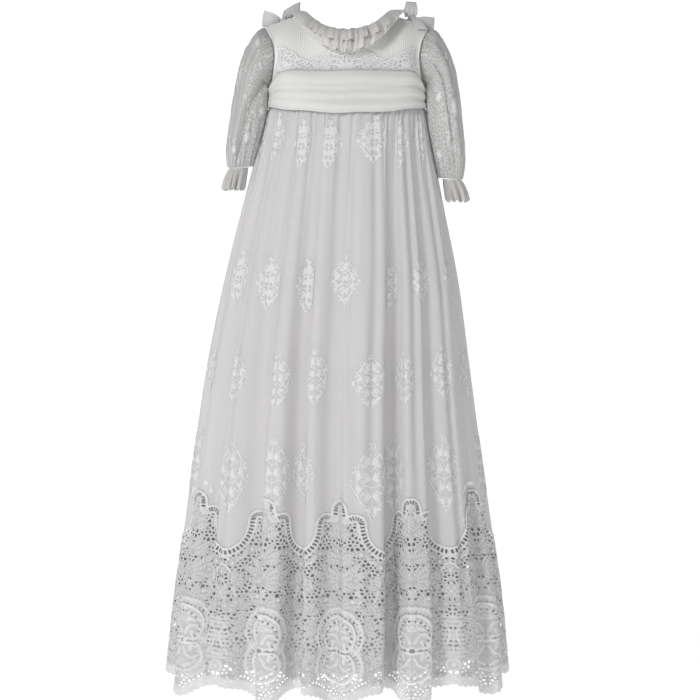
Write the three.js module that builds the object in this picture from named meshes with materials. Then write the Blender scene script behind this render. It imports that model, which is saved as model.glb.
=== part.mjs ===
// A baby's long christening gown, filled out as if worn, with its front towards -Y.
// Units are millimetres, with +Z up. The origin lies midway between the two shoulder seams,
// where the wearer's shoulders hold the gown up, and the hem hangs about 810 mm below it.
import * as THREE from "three";

// Driving sizes
const WALL = 1.5; // cloth wall
const FINE_WALL = 1.1; // wall of frills, ribbon and applied lace
const SEAM = 0.4; // gap between two pieces at a seam
const WAIST = { front: -108, side: -100, half: 90, depth: 59 };
const NECK = { half: 46, front: 50, back: 34, frontZ: -26, backZ: -9, sideZ: 8 };
const SHOULDER = { half: 98, z: -8, rise: 2 };
const HEM_Z = -808; // lowest points of the lace
const LACE_TOP_Z = -566; // highest points of the deep lace border
const LINING = {
  hemZ: -776,
  columns: 36,
  drops: [0, 0.09, 0.28, 0.6, 1], // shares of its length
  waves: 9,
  waveDepth: 3.5,
  clearance: 2, // kept from the folds of the skirt below the waist seam
};
const PANEL_EDGE = 90; // a front or back panel spans this many degrees each way

// Outline of the skirt at each height: how far it reaches to each side
const SKIRT_SECTIONS = [
  { z: -98, left: 88, right: 88, front: 58, back: 56 },
  { z: -125, left: 100, right: 97, front: 66, back: 64 },
  { z: -220, left: 126, right: 117, front: 84, back: 80 },
  { z: -316, left: 150, right: 136, front: 99, back: 94 },
  { z: -412, left: 170, right: 149, front: 112, back: 106 },
  { z: -508, left: 185, right: 162, front: 123, back: 116 },
  { z: -604, left: 198, right: 176, front: 132, back: 124 },
  { z: -700, left: 212, right: 190, front: 140, back: 131 },
  { z: -808, left: 224, right: 200, front: 148, back: 138 },
];

// Hanging folds of each skirt panel: where each one lies at the waist and at the hem, in degrees
// from the panel's middle, its half width in degrees and how far it sinks in at the hem
const FRONT_FOLDS = [
  { waist: -80, hem: -76, width: 8, depth: 14 },
  { waist: -64, hem: -56, width: 8, depth: 18 },
  { waist: -45, hem: -34, width: 8.5, depth: 20 },
  { waist: -23, hem: -17, width: 6.5, depth: 30 },
  { waist: -4, hem: -4, width: 6.5, depth: 19 },
  { waist: 38, hem: 18.5, width: 7.5, depth: 36 },
  { waist: 61, hem: 38, width: 8, depth: 20 },
  { waist: 77, hem: 59, width: 9, depth: 18 },
  { waist: 85, hem: 77, width: 7, depth: 12 },
];
const BACK_FOLDS = [
  { waist: -81, hem: -78, width: 7, depth: 13 },
  { waist: -66, hem: -58, width: 8.5, depth: 19 },
  { waist: -44, hem: -36, width: 8, depth: 24 },
  { waist: -24, hem: -19, width: 7, depth: 21 },
  { waist: 2, hem: 1, width: 7.5, depth: 27 },
  { waist: 27, hem: 20, width: 7, depth: 22 },
  { waist: 47, hem: 39, width: 8, depth: 25 },
  { waist: 68, hem: 59, width: 8, depth: 17 },
  { waist: 82, hem: 77, width: 7, depth: 13 },
];
const FOLD_GROWTH = 0.75; // power by which folds deepen from waist to hem
const GATHER = { depth: 2.6, shortest: 34, longest: 105 };

// The deep lace border repeats REPEATS times on each panel
const REPEATS = 5;
const CELLS = 10; // columns of cloth in one repeat
const LACE_ROWS = 7;
const LACE_CELL = { width: 14, height: (LACE_TOP_Z - HEM_Z) / LACE_ROWS };
const SCALLOP = 31; // height of the notch between two hem points
const SKIRT_ROWS = [0, 0.018, 0.06, 0.15, 0.3, 0.48]; // shares of the drop to the hem

// Gaps cut through one half of a lace repeat, mirrored to the other half. Row 0 is the top row,
// column 0 is at the edge of the repeat, and width, height and turn shape each gap.
const LACE_GAPS = [
  { row: 0, column: 4, width: 6, height: 13, turn: 15 },
  { row: 1, column: 3, width: 7, height: 15, turn: 25 },
  { row: 2, column: 1, width: 6.5, height: 14, turn: 30 },
  { row: 2, column: 4, width: 7, height: 16, turn: 8 },
  { row: 3, column: 0, width: 7, height: 16, turn: 20 },
  { row: 3, column: 2, width: 6.5, height: 13, turn: 30 },
  { row: 3, column: 4, width: 6, height: 14, turn: -12 },
  { row: 4, column: 3, width: 7.5, height: 18, turn: 0 },
  { row: 5, column: 0, width: 7, height: 17, turn: 12 },
  { row: 5, column: 2, width: 6.5, height: 14, turn: -20 },
  { row: 6, column: 2, width: 6.5, height: 11, turn: 30 },
];

// Sleeve sections from just below the armhole to the wrist, in the plane of the arm: the outer
// and inner point, as distances from the middle of the gown and heights, and the half depth
const SLEEVE_SECTIONS = [
  { outer: 108, outerZ: -13, inner: 95.5, innerZ: -80, depth: 31 },
  { outer: 119, outerZ: -28, inner: 98, innerZ: -84, depth: 33 },
  { outer: 129, outerZ: -51, inner: 98.6, innerZ: -93, depth: 34 },
  { outer: 136.5, outerZ: -86, inner: 99.2, innerZ: -108, depth: 34 },
  { outer: 142.5, outerZ: -124, inner: 104, innerZ: -131, depth: 32 },
  { outer: 146.5, outerZ: -154, inner: 110.5, innerZ: -154, depth: 27 },
  { outer: 145, outerZ: -176, inner: 117, innerZ: -175, depth: 15 },
];
const SLEEVE_GATHERS = 10;
const SLEEVE_PINCH = 0.08; // depth of the gathers at both ends, as a share of the section
const SIDES = [
  { name: "left", sign: -1, swing: 0, stretch: 1 }, // the side at -X
  { name: "right", sign: 1, swing: 0.05, stretch: 1.18 },
];
// Below this height a sleeve hangs closer in by swing, and lower by stretch, as shares of the drop
const HANG_FROM = -98;

// Neck frill: profile rows from the seam, how far out and up each lies, and its wave depth
const NECK_FRILL_WAVES = 24;
const NECK_FRILL_RISE = { front: 1, side: 0.5, back: 0.15 }; // share of its rise kept there
const NECK_FRILL = [
  { out: 0.8, up: 0.8, wave: 0 },
  { out: 4.5, up: 8, wave: 1 },
  { out: 12, up: 3, wave: 1.8 },
  { out: 17, up: -13, wave: 2.8 },
];

// Cuff frills: profile rows from the wrist, the half width and half depth of each, how far it
// leans outwards and how deep its waves are, as a share
const CUFF_FRILL_WAVES = 10;
const CUFF_FRILL = [
  { drop: 0.6, width: 12, depth: 14.5, lean: 0, wave: 0 },
  { drop: 7, width: 12, depth: 18, lean: 2, wave: 0.08 },
  { drop: 16, width: 12.3, depth: 21, lean: 4.5, wave: 0.14 },
  { drop: 28, width: 12.5, depth: 23, lean: 7, wave: 0.18 },
];

// Sash folds: share of the width from the top edge, and how far each ridge stands out
const SASH = {
  frontTop: -62,
  sideTop: -85, // it dips under the sleeves
  sideStart: 20, // power that keeps the dip to the sides
  overlap: 4, // how far it reaches below the waist seam
  wall: 1.8,
  columns: 32,
};
const SASH_PROFILE = [
  { down: 0, clear: 1.5, out: 0 },
  { down: 0.2, clear: 1.3, out: 1.6 },
  { down: 0.36, clear: 1.3, out: 0.5 },
  { down: 0.55, clear: 1.4, out: 1.9 },
  { down: 0.74, clear: 2.2, out: 0.8 },
  { down: 1, clear: 4, out: 0.4 },
];

// Bodice details
const TUCKS = 34; // pintucks on the front
const TUCK_HEIGHT = 0.5;
const NECK_SHARE = 0.36; // share of the panel's half width that ends at the neck
const ARMHOLE = [
  { x: 90, y: 0, z: -100 },
  { x: 91, y: 2, z: -78 },
  { x: 88, y: 19, z: -60 },
  { x: 87, y: 24, z: -41 },
  { x: 91, y: 17, z: -22 },
  { x: 98, y: 0, z: -8 },
];
const CHEST = { middle: 5, sides: 130 }; // how far the chest rounds out between waist and top
const YOKE_LACE = { low: -66, middle: -42, swing: 9, spacing: 100, scallop: 9, lip: 1.3 };
const PLACKET = {
  half: 8,
  top: 0.96, // shares of the height of the back
  bottom: 0.5,
  firstButton: 0.88,
  lastButton: 0.58,
  buttons: 3,
  buttonRadius: 4.5,
  buttonDepth: 2.4,
};

// Shoulder bows. The knot sits on the back panel just behind the shoulder seam, by the share of
// the panel's half width and of its height. Each loop has a direction, across, back and up, and its
// size.
// Each tail has its start, bend and end, measured from the knot.
const LOOP_STEPS = 8;
const TAIL_STEPS = 4;
const TAIL_WIDTH = { knot: 7, end: 14 };
const KNOT_RADIUS = 5;
const KNOT_SINK = 1.1; // the panel's flat faces lie about this far inside its curve
const offset = (x, y, z) => new THREE.Vector3(x, y, z);
const BACK_TAILS = {
  left: { start: offset(-4, 5.6, 1), bend: offset(-6, 23, 0), end: offset(-12, 30, -30) },
  right: { start: offset(4, 5.6, 1), bend: offset(6, 25, 0), end: offset(12, 32, -33) },
};
const OVER_SHOULDER_TAIL = {
  start: offset(2.7, -3.9, 4.1),
  bend: offset(6, -14, 7),
  end: offset(13, -24, -11),
};
const BOWS = [
  {
    name: "left",
    knot: { side: -1, across: 0.72, up: 0.96 },
    loops: [
      { name: "outer", across: -1, back: 0.2, up: 0.14, length: 22, open: 8, width: 20 },
      { name: "inner", across: 0.52, back: 0.5, up: 0.83, length: 27, open: 8, width: 18 },
    ],
    tails: [
      { name: "outer", ...BACK_TAILS.left },
      { name: "inner", ...BACK_TAILS.right },
    ],
  },
  {
    name: "right",
    knot: { side: 1, across: 0.72, up: 0.96 },
    loops: [
      { name: "outer", across: 1, back: 0.25, up: -0.08, length: 26, open: 8, width: 14 },
      { name: "inner", across: 0.06, back: 0.25, up: 1, length: 20, open: 9, width: 16 },
    ],
    tails: [
      { name: "outer", ...OVER_SHOULDER_TAIL },
      { name: "inner", ...BACK_TAILS.left },
    ],
  },
];

const { lerp, clamp, degToRad, smoothstep } = THREE.MathUtils;
const SAMPLES = 400; // steps for measuring a folded section

// Cloth as closed solids

// A closed wall between two grids of points. Rows run down the cloth and columns to the right as
// seen from outside. gapAt may give the corners of a gap in a cell, as shares across and down.
function clothGeometry(outer, inner, { around = false, gapAt = () => null } = {}) {
  const positions = [];
  const triangle = (a, b, c) => positions.push(...a, ...b, ...c);
  const quad = (a, b, c, d) => {
    triangle(a, b, c);
    triangle(a, c, d);
  };
  const last = outer.length - 1;
  const columns = outer[0].length;
  const cells = around ? columns : columns - 1;
  const corner = (grid, r, c) => grid[r][c % columns];
  const inCell = (grid, r, c, [across, down]) => {
    const top = corner(grid, r, c).clone().lerp(corner(grid, r, c + 1), across);
    return top.lerp(corner(grid, r + 1, c).clone().lerp(corner(grid, r + 1, c + 1), across), down);
  };
  const cellCorners = (grid, r, c) => [
    corner(grid, r, c),
    corner(grid, r + 1, c),
    corner(grid, r + 1, c + 1),
    corner(grid, r, c + 1),
  ];
  for (let r = 0; r < last; r++) {
    for (let c = 0; c < cells; c++) {
      const front = cellCorners(outer, r, c);
      const back = cellCorners(inner, r, c);
      const gap = gapAt(r, c);
      if (!gap) {
        quad(...front);
        quad(...back.reverse());
        continue;
      }
      const rim = gap.map((share) => inCell(outer, r, c, share));
      const well = gap.map((share) => inCell(inner, r, c, share));
      for (let k = 0; k < 4; k++) {
        const next = (k + 1) % 4;
        quad(front[k], front[next], rim[next], rim[k]);
        quad(back[next], back[k], well[k], well[next]);
        quad(rim[k], rim[next], well[next], well[k]);
      }
    }
  }
  for (let c = 0; c < cells; c++) {
    const d = c + 1;
    quad(corner(inner, 0, c), corner(outer, 0, c), corner(outer, 0, d), corner(inner, 0, d));
    quad(
      corner(outer, last, c),
      corner(inner, last, c),
      corner(inner, last, d),
      corner(outer, last, d),
    );
  }
  if (!around) {
    for (let r = 0; r < last; r++) {
      const end = columns - 1;
      quad(outer[r][0], inner[r][0], inner[r + 1][0], outer[r + 1][0]);
      quad(inner[r][end], outer[r][end], outer[r + 1][end], inner[r + 1][end]);
    }
  }
  const geometry = new THREE.BufferGeometry();
  geometry.setAttribute("position", new THREE.Float32BufferAttribute(positions, 3));
  geometry.computeVertexNormals();
  return geometry;
}

// The grid moved along its own normals, outwards for a positive distance, which may depend on
// the row and column
function movedGrid(grid, distance, around = false) {
  const last = grid.length - 1;
  const columns = grid[0].length;
  const beside = (c) => (around ? (c + columns) % columns : clamp(c, 0, columns - 1));
  const far = typeof distance === "function" ? distance : () => distance;
  return grid.map((row, r) =>
    row.map((point, c) => {
      const down = grid[Math.min(r + 1, last)][c].clone().sub(grid[Math.max(r - 1, 0)][c]);
      const right = row[beside(c + 1)].clone().sub(row[beside(c - 1)]);
      return point.clone().addScaledVector(down.cross(right).normalize(), far(r, c));
    }),
  );
}

// Every point of a front panel stays in front of the side and shoulder seams, and a back one behind
function keptToSide(grid, facing) {
  for (const point of grid.flat()) {
    if (-facing * point.y < SEAM / 2) point.y = -facing * (SEAM / 2);
  }
  return grid;
}

const gridOf = (rows, columns, pointAt) =>
  Array.from({ length: rows + 1 }, (_, r) =>
    Array.from({ length: columns }, (_, c) => pointAt(r, c)),
  );

// A cubic curve through one column of a table, read at a value of its knot column
function tableValue(table, knot, column, at) {
  const rising = table[1][knot] > table[0][knot];
  const past = (row) => (rising ? row[knot] > at : row[knot] < at);
  const found = table.findIndex(past);
  const i = clamp((found < 0 ? table.length : found) - 1, 0, table.length - 2);
  const [a, b] = [table[i], table[i + 1]];
  const before = table[Math.max(i - 1, 0)];
  const after = table[Math.min(i + 2, table.length - 1)];
  const step = b[knot] - a[knot];
  const share = clamp((at - a[knot]) / step, 0, 1);
  const slopeA = ((b[column] - before[column]) / (b[knot] - before[knot])) * step;
  const slopeB = ((after[column] - a[column]) / (after[knot] - a[knot])) * step;
  const [s2, s3] = [share ** 2, share ** 3];
  return (
    (2 * s3 - 3 * s2 + 1) * a[column] +
    (s3 - 2 * s2 + share) * slopeA +
    (3 * s2 - 2 * s3) * b[column] +
    (s3 - s2) * slopeB
  );
}

// The skirt

const waistHeight = (turn) => lerp(WAIST.side, WAIST.front, Math.cos(degToRad(turn)) ** 2);

// A point of the skirt's outline, facing 1 at the front and -1 at the back, moved inwards
function skirtOutline(facing, turn, z, inwards) {
  const left = tableValue(SKIRT_SECTIONS, "z", "left", z);
  const right = tableValue(SKIRT_SECTIONS, "z", "right", z);
  const deep = tableValue(SKIRT_SECTIONS, "z", facing > 0 ? "front" : "back", z);
  const wide = (left + right) / 2;
  const angle = degToRad(turn);
  const normal = new THREE.Vector2(Math.sin(angle) / wide, Math.cos(angle) / deep).normalize();
  const x = (right - left) / 2 + facing * (wide * Math.sin(angle) - inwards * normal.x);
  const y = -facing * (deep * Math.cos(angle) - inwards * normal.y);
  return new THREE.Vector3(x, y, z);
}

// How far a fold line at a given turn of the hem lies away from it at the waist
function foldDrift(folds, turn) {
  const stops = [
    { waist: -PANEL_EDGE, hem: -PANEL_EDGE },
    ...folds,
    { waist: PANEL_EDGE, hem: PANEL_EDGE },
  ];
  const i = clamp(stops.findIndex((stop) => stop.hem > turn) - 1, 0, stops.length - 2);
  const [a, b] = [stops[i], stops[i + 1]];
  return lerp(a.waist - a.hem, b.waist - b.hem, clamp((turn - a.hem) / (b.hem - a.hem), 0, 1));
}

function foldDepth(folds, turn, drop) {
  const depths = folds.map((fold) => {
    const off = Math.abs(turn - fold.hem) / fold.width;
    return off < 1 ? (fold.depth * (1 + Math.cos(Math.PI * off))) / 2 : 0;
  });
  return Math.max(...depths) * drop ** FOLD_GROWTH;
}

// A point of a skirt panel: turn in degrees at the hem, and drop from 0 at the waist to 1
function skirtPoint(facing, turn, drop, { gather = 0, lift = 0 } = {}) {
  const folds = facing > 0 ? FRONT_FOLDS : BACK_FOLDS;
  const placed = turn + foldDrift(folds, turn) * (1 - Math.sqrt(drop));
  const z = lerp(waistHeight(placed), HEM_Z, drop) + lift;
  return skirtOutline(facing, placed, z, foldDepth(folds, turn, drop) + gather);
}

// Turns that split a folded panel into equal widths of cloth
function evenTurns(facing, count) {
  const measured = 0.8; // the drop at which the widths are equal
  const turnAt = (i) => lerp(-PANEL_EDGE, PANEL_EDGE, i / SAMPLES);
  const lengths = [0];
  let before = skirtPoint(facing, turnAt(0), measured);
  for (let i = 1; i <= SAMPLES; i++) {
    const point = skirtPoint(facing, turnAt(i), measured);
    lengths.push(lengths[i - 1] + point.distanceTo(before));
    before = point;
  }
  return Array.from({ length: count + 1 }, (_, c) => {
    const wanted = (lengths[SAMPLES] * c) / count;
    const i = clamp(lengths.findIndex((length) => length >= wanted), 1, SAMPLES);
    const share = (wanted - lengths[i - 1]) / (lengths[i] - lengths[i - 1]);
    return lerp(turnAt(i - 1), turnAt(i), share);
  });
}

// Height of the hem above its lowest points, across one repeat: a point, shoulders and a notch
function hemNotch(column) {
  const across = Math.abs(((column % CELLS) / CELLS) * 2 - 1);
  const [notch, shoulder] = [0.75, 0.25]; // their shares of the height
  return SCALLOP * (notch * across ** 1.6 + shoulder * Math.sin(across * Math.PI) ** 2);
}

function laceGap(row, column) {
  const inRepeat = column % CELLS;
  const mirrored = inRepeat >= CELLS / 2;
  const half = mirrored ? CELLS - 1 - inRepeat : inRepeat;
  const gap = LACE_GAPS.find((g) => g.row === row && g.column === half);
  if (!gap) return null;
  const middle = 0.5;
  const turn = degToRad(mirrored ? -gap.turn : gap.turn);
  return [
    [-1, -1],
    [-1, 1],
    [1, 1],
    [1, -1],
  ].map(([across, down]) => {
    const x = (across * gap.width) / 2;
    const y = (down * gap.height) / 2;
    return [
      middle + (x * Math.cos(turn) - y * Math.sin(turn)) / LACE_CELL.width,
      middle + (x * Math.sin(turn) + y * Math.cos(turn)) / LACE_CELL.height,
    ];
  });
}

function skirtPanel(facing) {
  const columns = REPEATS * CELLS;
  const turns = evenTurns(facing, columns);
  const laceTop = (LACE_TOP_Z - WAIST.front) / (HEM_Z - WAIST.front);
  const drops = [
    ...SKIRT_ROWS,
    ...Array.from({ length: LACE_ROWS + 1 }, (_, r) => lerp(laceTop, 1, r / LACE_ROWS)),
  ];
  const top = (2 * SEAM) / (WAIST.front - HEM_Z);
  const outer = gridOf(drops.length - 1, columns + 1, (r, c) => {
    const edge = c === 0 || c === columns;
    const drop = Math.max(drops[r], top);
    const below = drop * (WAIST.front - HEM_Z);
    const reach = lerp(GATHER.shortest, GATHER.longest, (Math.sin(c * 2.4) + 1) / 2);
    const gather = c % 2 ? 0 : GATHER.depth * Math.exp(-below / reach);
    const lift = hemNotch(c) * Math.max(0, (drop - laceTop) / (1 - laceTop)) ** 2;
    return skirtPoint(facing, turns[c], drop, { gather: edge ? 0 : gather, lift });
  });
  const inner = movedGrid(outer, -WALL);
  const firstLaceRow = SKIRT_ROWS.length;
  return clothGeometry(keptToSide(outer, facing), keptToSide(inner, facing), {
    gapAt: (r, c) => laceGap(r - firstLaceRow, c),
  });
}

// The lining hangs inside the deepest folds of the skirt, in soft waves of its own
function lining() {
  const { columns, drops, waves, waveDepth, clearance } = LINING;
  const deepest = Math.max(...[...FRONT_FOLDS, ...BACK_FOLDS].map((fold) => fold.depth));
  const outer = gridOf(drops.length - 1, columns, (r, c) => {
    const turn = (c / columns) * 360 - PANEL_EDGE;
    const facing = turn < PANEL_EDGE ? 1 : -1;
    const local = facing > 0 ? turn : turn - 180;
    const z = lerp(waistHeight(local) - SEAM, LINING.hemZ, drops[r]);
    const share = (WAIST.front - z) / (WAIST.front - HEM_Z);
    const clear = r === 0 ? SEAM : clearance;
    const room = WALL + clear + GATHER.depth + deepest * Math.max(0, share) ** FOLD_GROWTH;
    const wave = waveDepth * drops[r] * (1 - Math.cos(degToRad(turn * waves)));
    return skirtOutline(facing, local, z, room + wave);
  });
  return clothGeometry(outer, movedGrid(outer, -WALL, true), { around: true });
}

// The bodice

function neckEdge(facing, turn) {
  const angle = degToRad(turn);
  const low = facing > 0 ? NECK.frontZ : NECK.backZ;
  const deep = facing > 0 ? NECK.front : NECK.back;
  const z = lerp(low, NECK.sideZ, Math.abs(Math.sin(angle)) ** 2.2);
  return new THREE.Vector3(NECK.half * Math.sin(angle), -facing * deep * Math.cos(angle), z);
}

function shoulderEdge(facing, side, share) {
  const x = side * lerp(NECK.half, SHOULDER.half, share);
  const z = lerp(NECK.sideZ, SHOULDER.z, share) + SHOULDER.rise * Math.sin(Math.PI * share);
  return new THREE.Vector3(x, -facing * (SEAM / 2), z);
}

const armholeCurve = new THREE.CatmullRomCurve3(
  ARMHOLE.map(({ x, y, z }) => new THREE.Vector3(x, y, z)),
);

// A point of the bodice: across from -1 to 1 as seen from that side, and up from waist to top
function bodicePoint(facing, across, up) {
  const side = Math.sign(across) || 1;
  const far = Math.abs(across);
  const turn = far * PANEL_EDGE;
  const bottom = new THREE.Vector3(
    WAIST.half * Math.sin(degToRad(turn)),
    -WAIST.depth * Math.cos(degToRad(turn)),
    waistHeight(turn),
  );
  const top =
    far < NECK_SHARE
      ? neckEdge(facing, (far / NECK_SHARE) * PANEL_EDGE)
      : shoulderEdge(facing, 1, (far - NECK_SHARE) / (1 - NECK_SHARE));
  const point = new THREE.Vector3(
    lerp(bottom.x, top.x, up),
    lerp(bottom.y * facing, top.y, up),
    lerp(bottom.z, top.z, up),
  );
  const edge = armholeCurve.getPoint(up);
  const straight = new THREE.Vector3(
    lerp(ARMHOLE[0].x, ARMHOLE[5].x, up),
    0,
    lerp(ARMHOLE[0].z, ARMHOLE[5].z, up),
  );
  const pull = far ** 4;
  point.x += (edge.x - straight.x) * pull;
  point.y -= facing * (edge.y * pull + SEAM / 2);
  point.z += (edge.z - straight.z) * pull;
  const round = CHEST.middle + CHEST.sides * far ** 2 * (1 - far ** 2) ** 2;
  point.y -= facing * round * Math.sin(Math.PI * up) ** 0.8;
  point.x *= side * facing;
  return point;
}

// A bodice panel between two shares of its width, its tucks raised over a plain inside
function bodicePanel(facing, from, to, columns, tuckHeight = 0) {
  const rows = 4;
  const grid = gridOf(rows, columns + 1, (r, c) =>
    bodicePoint(facing, lerp(from, to, c / columns), 1 - r / rows),
  );
  const outer = movedGrid(grid, (r, c) => (c % 2 ? tuckHeight : 0));
  const inner = movedGrid(grid, -WALL);
  return clothGeometry(keptToSide(outer, facing), keptToSide(inner, facing));
}

// The point of the bodice at a height
function bodiceAt(facing, across, z) {
  let [low, high] = [0, 1];
  for (let i = 0; i < 24; i++) {
    const middle = (low + high) / 2;
    if (bodicePoint(facing, across, middle).z < z) low = middle;
    else high = middle;
  }
  return bodicePoint(facing, across, low);
}

// Scalloped lace over the lower yoke, laid on the front panel
function yokeLace() {
  const columns = 44;
  const reach = 0.8; // share of the panel's half width that it covers
  const rows = 2;
  const grid = gridOf(rows, columns + 1, (r, c) => {
    const across = lerp(-reach, reach, c / columns);
    const x = WAIST.half * Math.sin(degToRad(across * PANEL_EDGE));
    const wave = YOKE_LACE.swing * Math.cos((2 * Math.PI * x) / YOKE_LACE.spacing);
    const lip = YOKE_LACE.lip * Math.cos((2 * Math.PI * x) / YOKE_LACE.scallop);
    const high = YOKE_LACE.middle + wave + lip;
    return bodiceAt(1, across, lerp(high, YOKE_LACE.low, r / rows));
  });
  const clear = TUCK_HEIGHT + SEAM;
  return clothGeometry(movedGrid(grid, clear + FINE_WALL), movedGrid(grid, clear));
}

// The sash goes round the waist, over the seam of bodice and skirt
function sash() {
  const outerRows = [];
  const innerRows = [];
  for (const { down, clear, out } of SASH_PROFILE) {
    const row = [];
    const wall = [];
    for (let c = 0; c < SASH.columns; c++) {
      const turn = (c / SASH.columns) * 360 - PANEL_EDGE;
      const facing = turn < PANEL_EDGE ? 1 : -1;
      const local = facing > 0 ? turn : turn - 180;
      const side = Math.abs(Math.sin(degToRad(local))) ** SASH.sideStart;
      const top = lerp(SASH.frontTop, SASH.sideTop, side);
      const z = lerp(top, waistHeight(local) - SASH.overlap, down);
      const body = bodiceAt(facing, local / PANEL_EDGE, z);
      const away = new THREE.Vector3(body.x / WAIST.half ** 2, body.y / WAIST.depth ** 2, 0);
      const over = TUCK_HEIGHT + SEAM + FINE_WALL; // room for the yoke lace underneath
      const inFront = smoothstep(PANEL_EDGE - Math.abs(local), 0, 15);
      const lace = over * (facing > 0 ? inFront : side);
      away.normalize();
      body.z = z;
      const inside = body.clone().addScaledVector(away, clear + lace);
      wall.push(inside);
      row.push(inside.clone().addScaledVector(away, SASH.wall + out));
    }
    outerRows.push(row);
    innerRows.push(wall);
  }
  return clothGeometry(outerRows, innerRows, { around: true });
}

// The neck frill rises from the neck edge and falls outwards in waves
function neckFrill() {
  const columns = NECK_FRILL_WAVES * 2;
  const flatFall = -0.1; // over the shoulders and back it lies flat
  const sideRoom = 1;
  const rippleRise = 0.4;
  const seat = NECK_FRILL[0].up;
  const grid = gridOf(NECK_FRILL.length - 1, columns, (r, c) => {
    const turn = (c / columns) * 360 - PANEL_EDGE;
    const facing = turn < PANEL_EDGE ? 1 : -1;
    const local = facing > 0 ? turn : turn - 180;
    const edge = neckEdge(facing, local);
    edge.x *= facing;
    const { out, up, wave } = NECK_FRILL[NECK_FRILL.length - 1 - r];
    const angle = degToRad(turn);
    const front = Math.max(0, Math.cos(angle));
    const back = Math.max(0, -Math.cos(angle));
    const { side } = NECK_FRILL_RISE;
    const rise = lerp(lerp(side, NECK_FRILL_RISE.front, front), NECK_FRILL_RISE.back, back);
    const lift = up < 0 ? up * lerp(flatFall, 1, front) : seat + (up - seat) * rise;
    const ripple = (c % 2 ? 1 : -1) * wave;
    edge.x += Math.sin(angle) * (out + ripple + sideRoom);
    edge.y -= Math.cos(angle) * (out + ripple);
    edge.z += lift + ripple * rippleRise;
    return edge;
  });
  const turned = grid.map((row) => row.slice().reverse());
  return clothGeometry(turned, movedGrid(turned, -FINE_WALL, true), { around: true });
}

// Sleeves

// A point of a sleeve section by its angle: 0 at the front, 90 at the outer edge
function sleevePoint(section, side, angle, size = 1) {
  const hang = (height) => Math.max(0, HANG_FROM - height);
  const a = degToRad(angle);
  const share = (1 + Math.sin(a) * size) / 2;
  const x = lerp(section.inner, section.outer, share) - side.swing * hang(section.innerZ);
  const height = lerp(section.innerZ, section.outerZ, share);
  const z = height - (side.stretch - 1) * hang(height);
  return new THREE.Vector3(side.sign * x, -section.depth * Math.cos(a) * size, z);
}

// A ring of points as seen from outside: towards +X at the front on both sides
const ringAngle = (side, c, columns) => side.sign * (c / columns) * 360;

// The sleeve's first ring follows the armhole, a seam's width outside it
function armholeSeam(side, angle) {
  const a = degToRad(angle);
  const underarm = 0.2; // where along the armhole curve the side seam ends
  const edge = armholeCurve.getPoint(lerp(underarm, 1, (1 + Math.sin(a)) / 2));
  const half = (edge.y + WALL) * Math.sqrt(Math.abs(Math.cos(a)));
  const out = 2 * WALL;
  return new THREE.Vector3(side.sign * (edge.x + out), -half * Math.sign(Math.cos(a)), edge.z);
}

function sleeve(side) {
  const columns = SLEEVE_GATHERS * 2;
  const lastRow = SLEEVE_SECTIONS.length - 1;
  const gatherRows = 3;
  const outer = gridOf(lastRow + 1, columns, (r, c) => {
    const angle = ringAngle(side, c, columns);
    if (r === 0) return armholeSeam(side, angle);
    const nearEnd = Math.max(0, 1 - Math.min(r, lastRow + 1 - r) / gatherRows);
    const pinch = c % 2 ? 1 - SLEEVE_PINCH * nearEnd : 1;
    return sleevePoint(SLEEVE_SECTIONS[r - 1], side, angle, pinch);
  });
  return clothGeometry(outer, movedGrid(outer, -WALL, true), { around: true });
}

function cuffFrill(side) {
  const columns = CUFF_FRILL_WAVES * 2;
  const wrist = SLEEVE_SECTIONS[SLEEVE_SECTIONS.length - 1];
  const outer = gridOf(CUFF_FRILL.length - 1, columns, (r, c) => {
    const { drop, width, depth, lean, wave } = CUFF_FRILL[r];
    const centre = sleevePoint(wrist, side, 0, 0);
    const angle = degToRad(ringAngle(side, c, columns));
    const size = 1 + (c % 2 ? -wave : wave);
    return new THREE.Vector3(
      centre.x + side.sign * (lean + width * Math.sin(angle) * size),
      -depth * Math.cos(angle) * size,
      centre.z - drop,
    );
  });
  return clothGeometry(outer, movedGrid(outer, -FINE_WALL, true), { around: true });
}

// Shoulder bows

// A strip of ribbon along a path, its width lying along one direction
function ribbon(path, widthAt, across) {
  const grid = path.map((point, r) =>
    [-1, 1].map((side) => point.clone().addScaledVector(across, (side * widthAt(r)) / 2)),
  );
  return clothGeometry(movedGrid(grid, FINE_WALL / 2), movedGrid(grid, -FINE_WALL / 2));
}

function knotCentre({ side, across, up }) {
  const at = (a, u) => bodicePoint(-1, -side * a, u);
  const seat = at(across, up);
  const rise = at(across, up + 0.02).sub(seat);
  const outwards = at(across + 0.02, up).sub(seat);
  const normal = rise.cross(outwards).multiplyScalar(side).normalize();
  return seat.addScaledVector(normal, KNOT_RADIUS + SEAM - KNOT_SINK);
}

function bowLoop(knot, { across, back, up, length, open, width }) {
  const ahead = new THREE.Vector3(across, back, up).normalize();
  const wide = new THREE.Vector3(up, 0, -across).normalize();
  const thick = ahead.clone().cross(wide).normalize();
  const start = knot.clone().addScaledVector(ahead, KNOT_RADIUS - SEAM);
  const turn = 0.9 * Math.PI; // how far the ribbon turns each way from the loop's end
  const path = Array.from({ length: LOOP_STEPS + 1 }, (_, i) => {
    const angle = lerp(-turn, turn, i / LOOP_STEPS);
    const along = ((Math.cos(angle) + 1) / 2) * length;
    const apart = (Math.sin(angle) * open) / 2;
    return start.clone().addScaledVector(ahead, along).addScaledVector(thick, apart);
  });
  const tip = LOOP_STEPS / 2;
  const widthAt = (r) => lerp(width, width * 0.5, Math.abs(r - tip) / tip);
  return ribbon(path, widthAt, wide);
}

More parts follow.
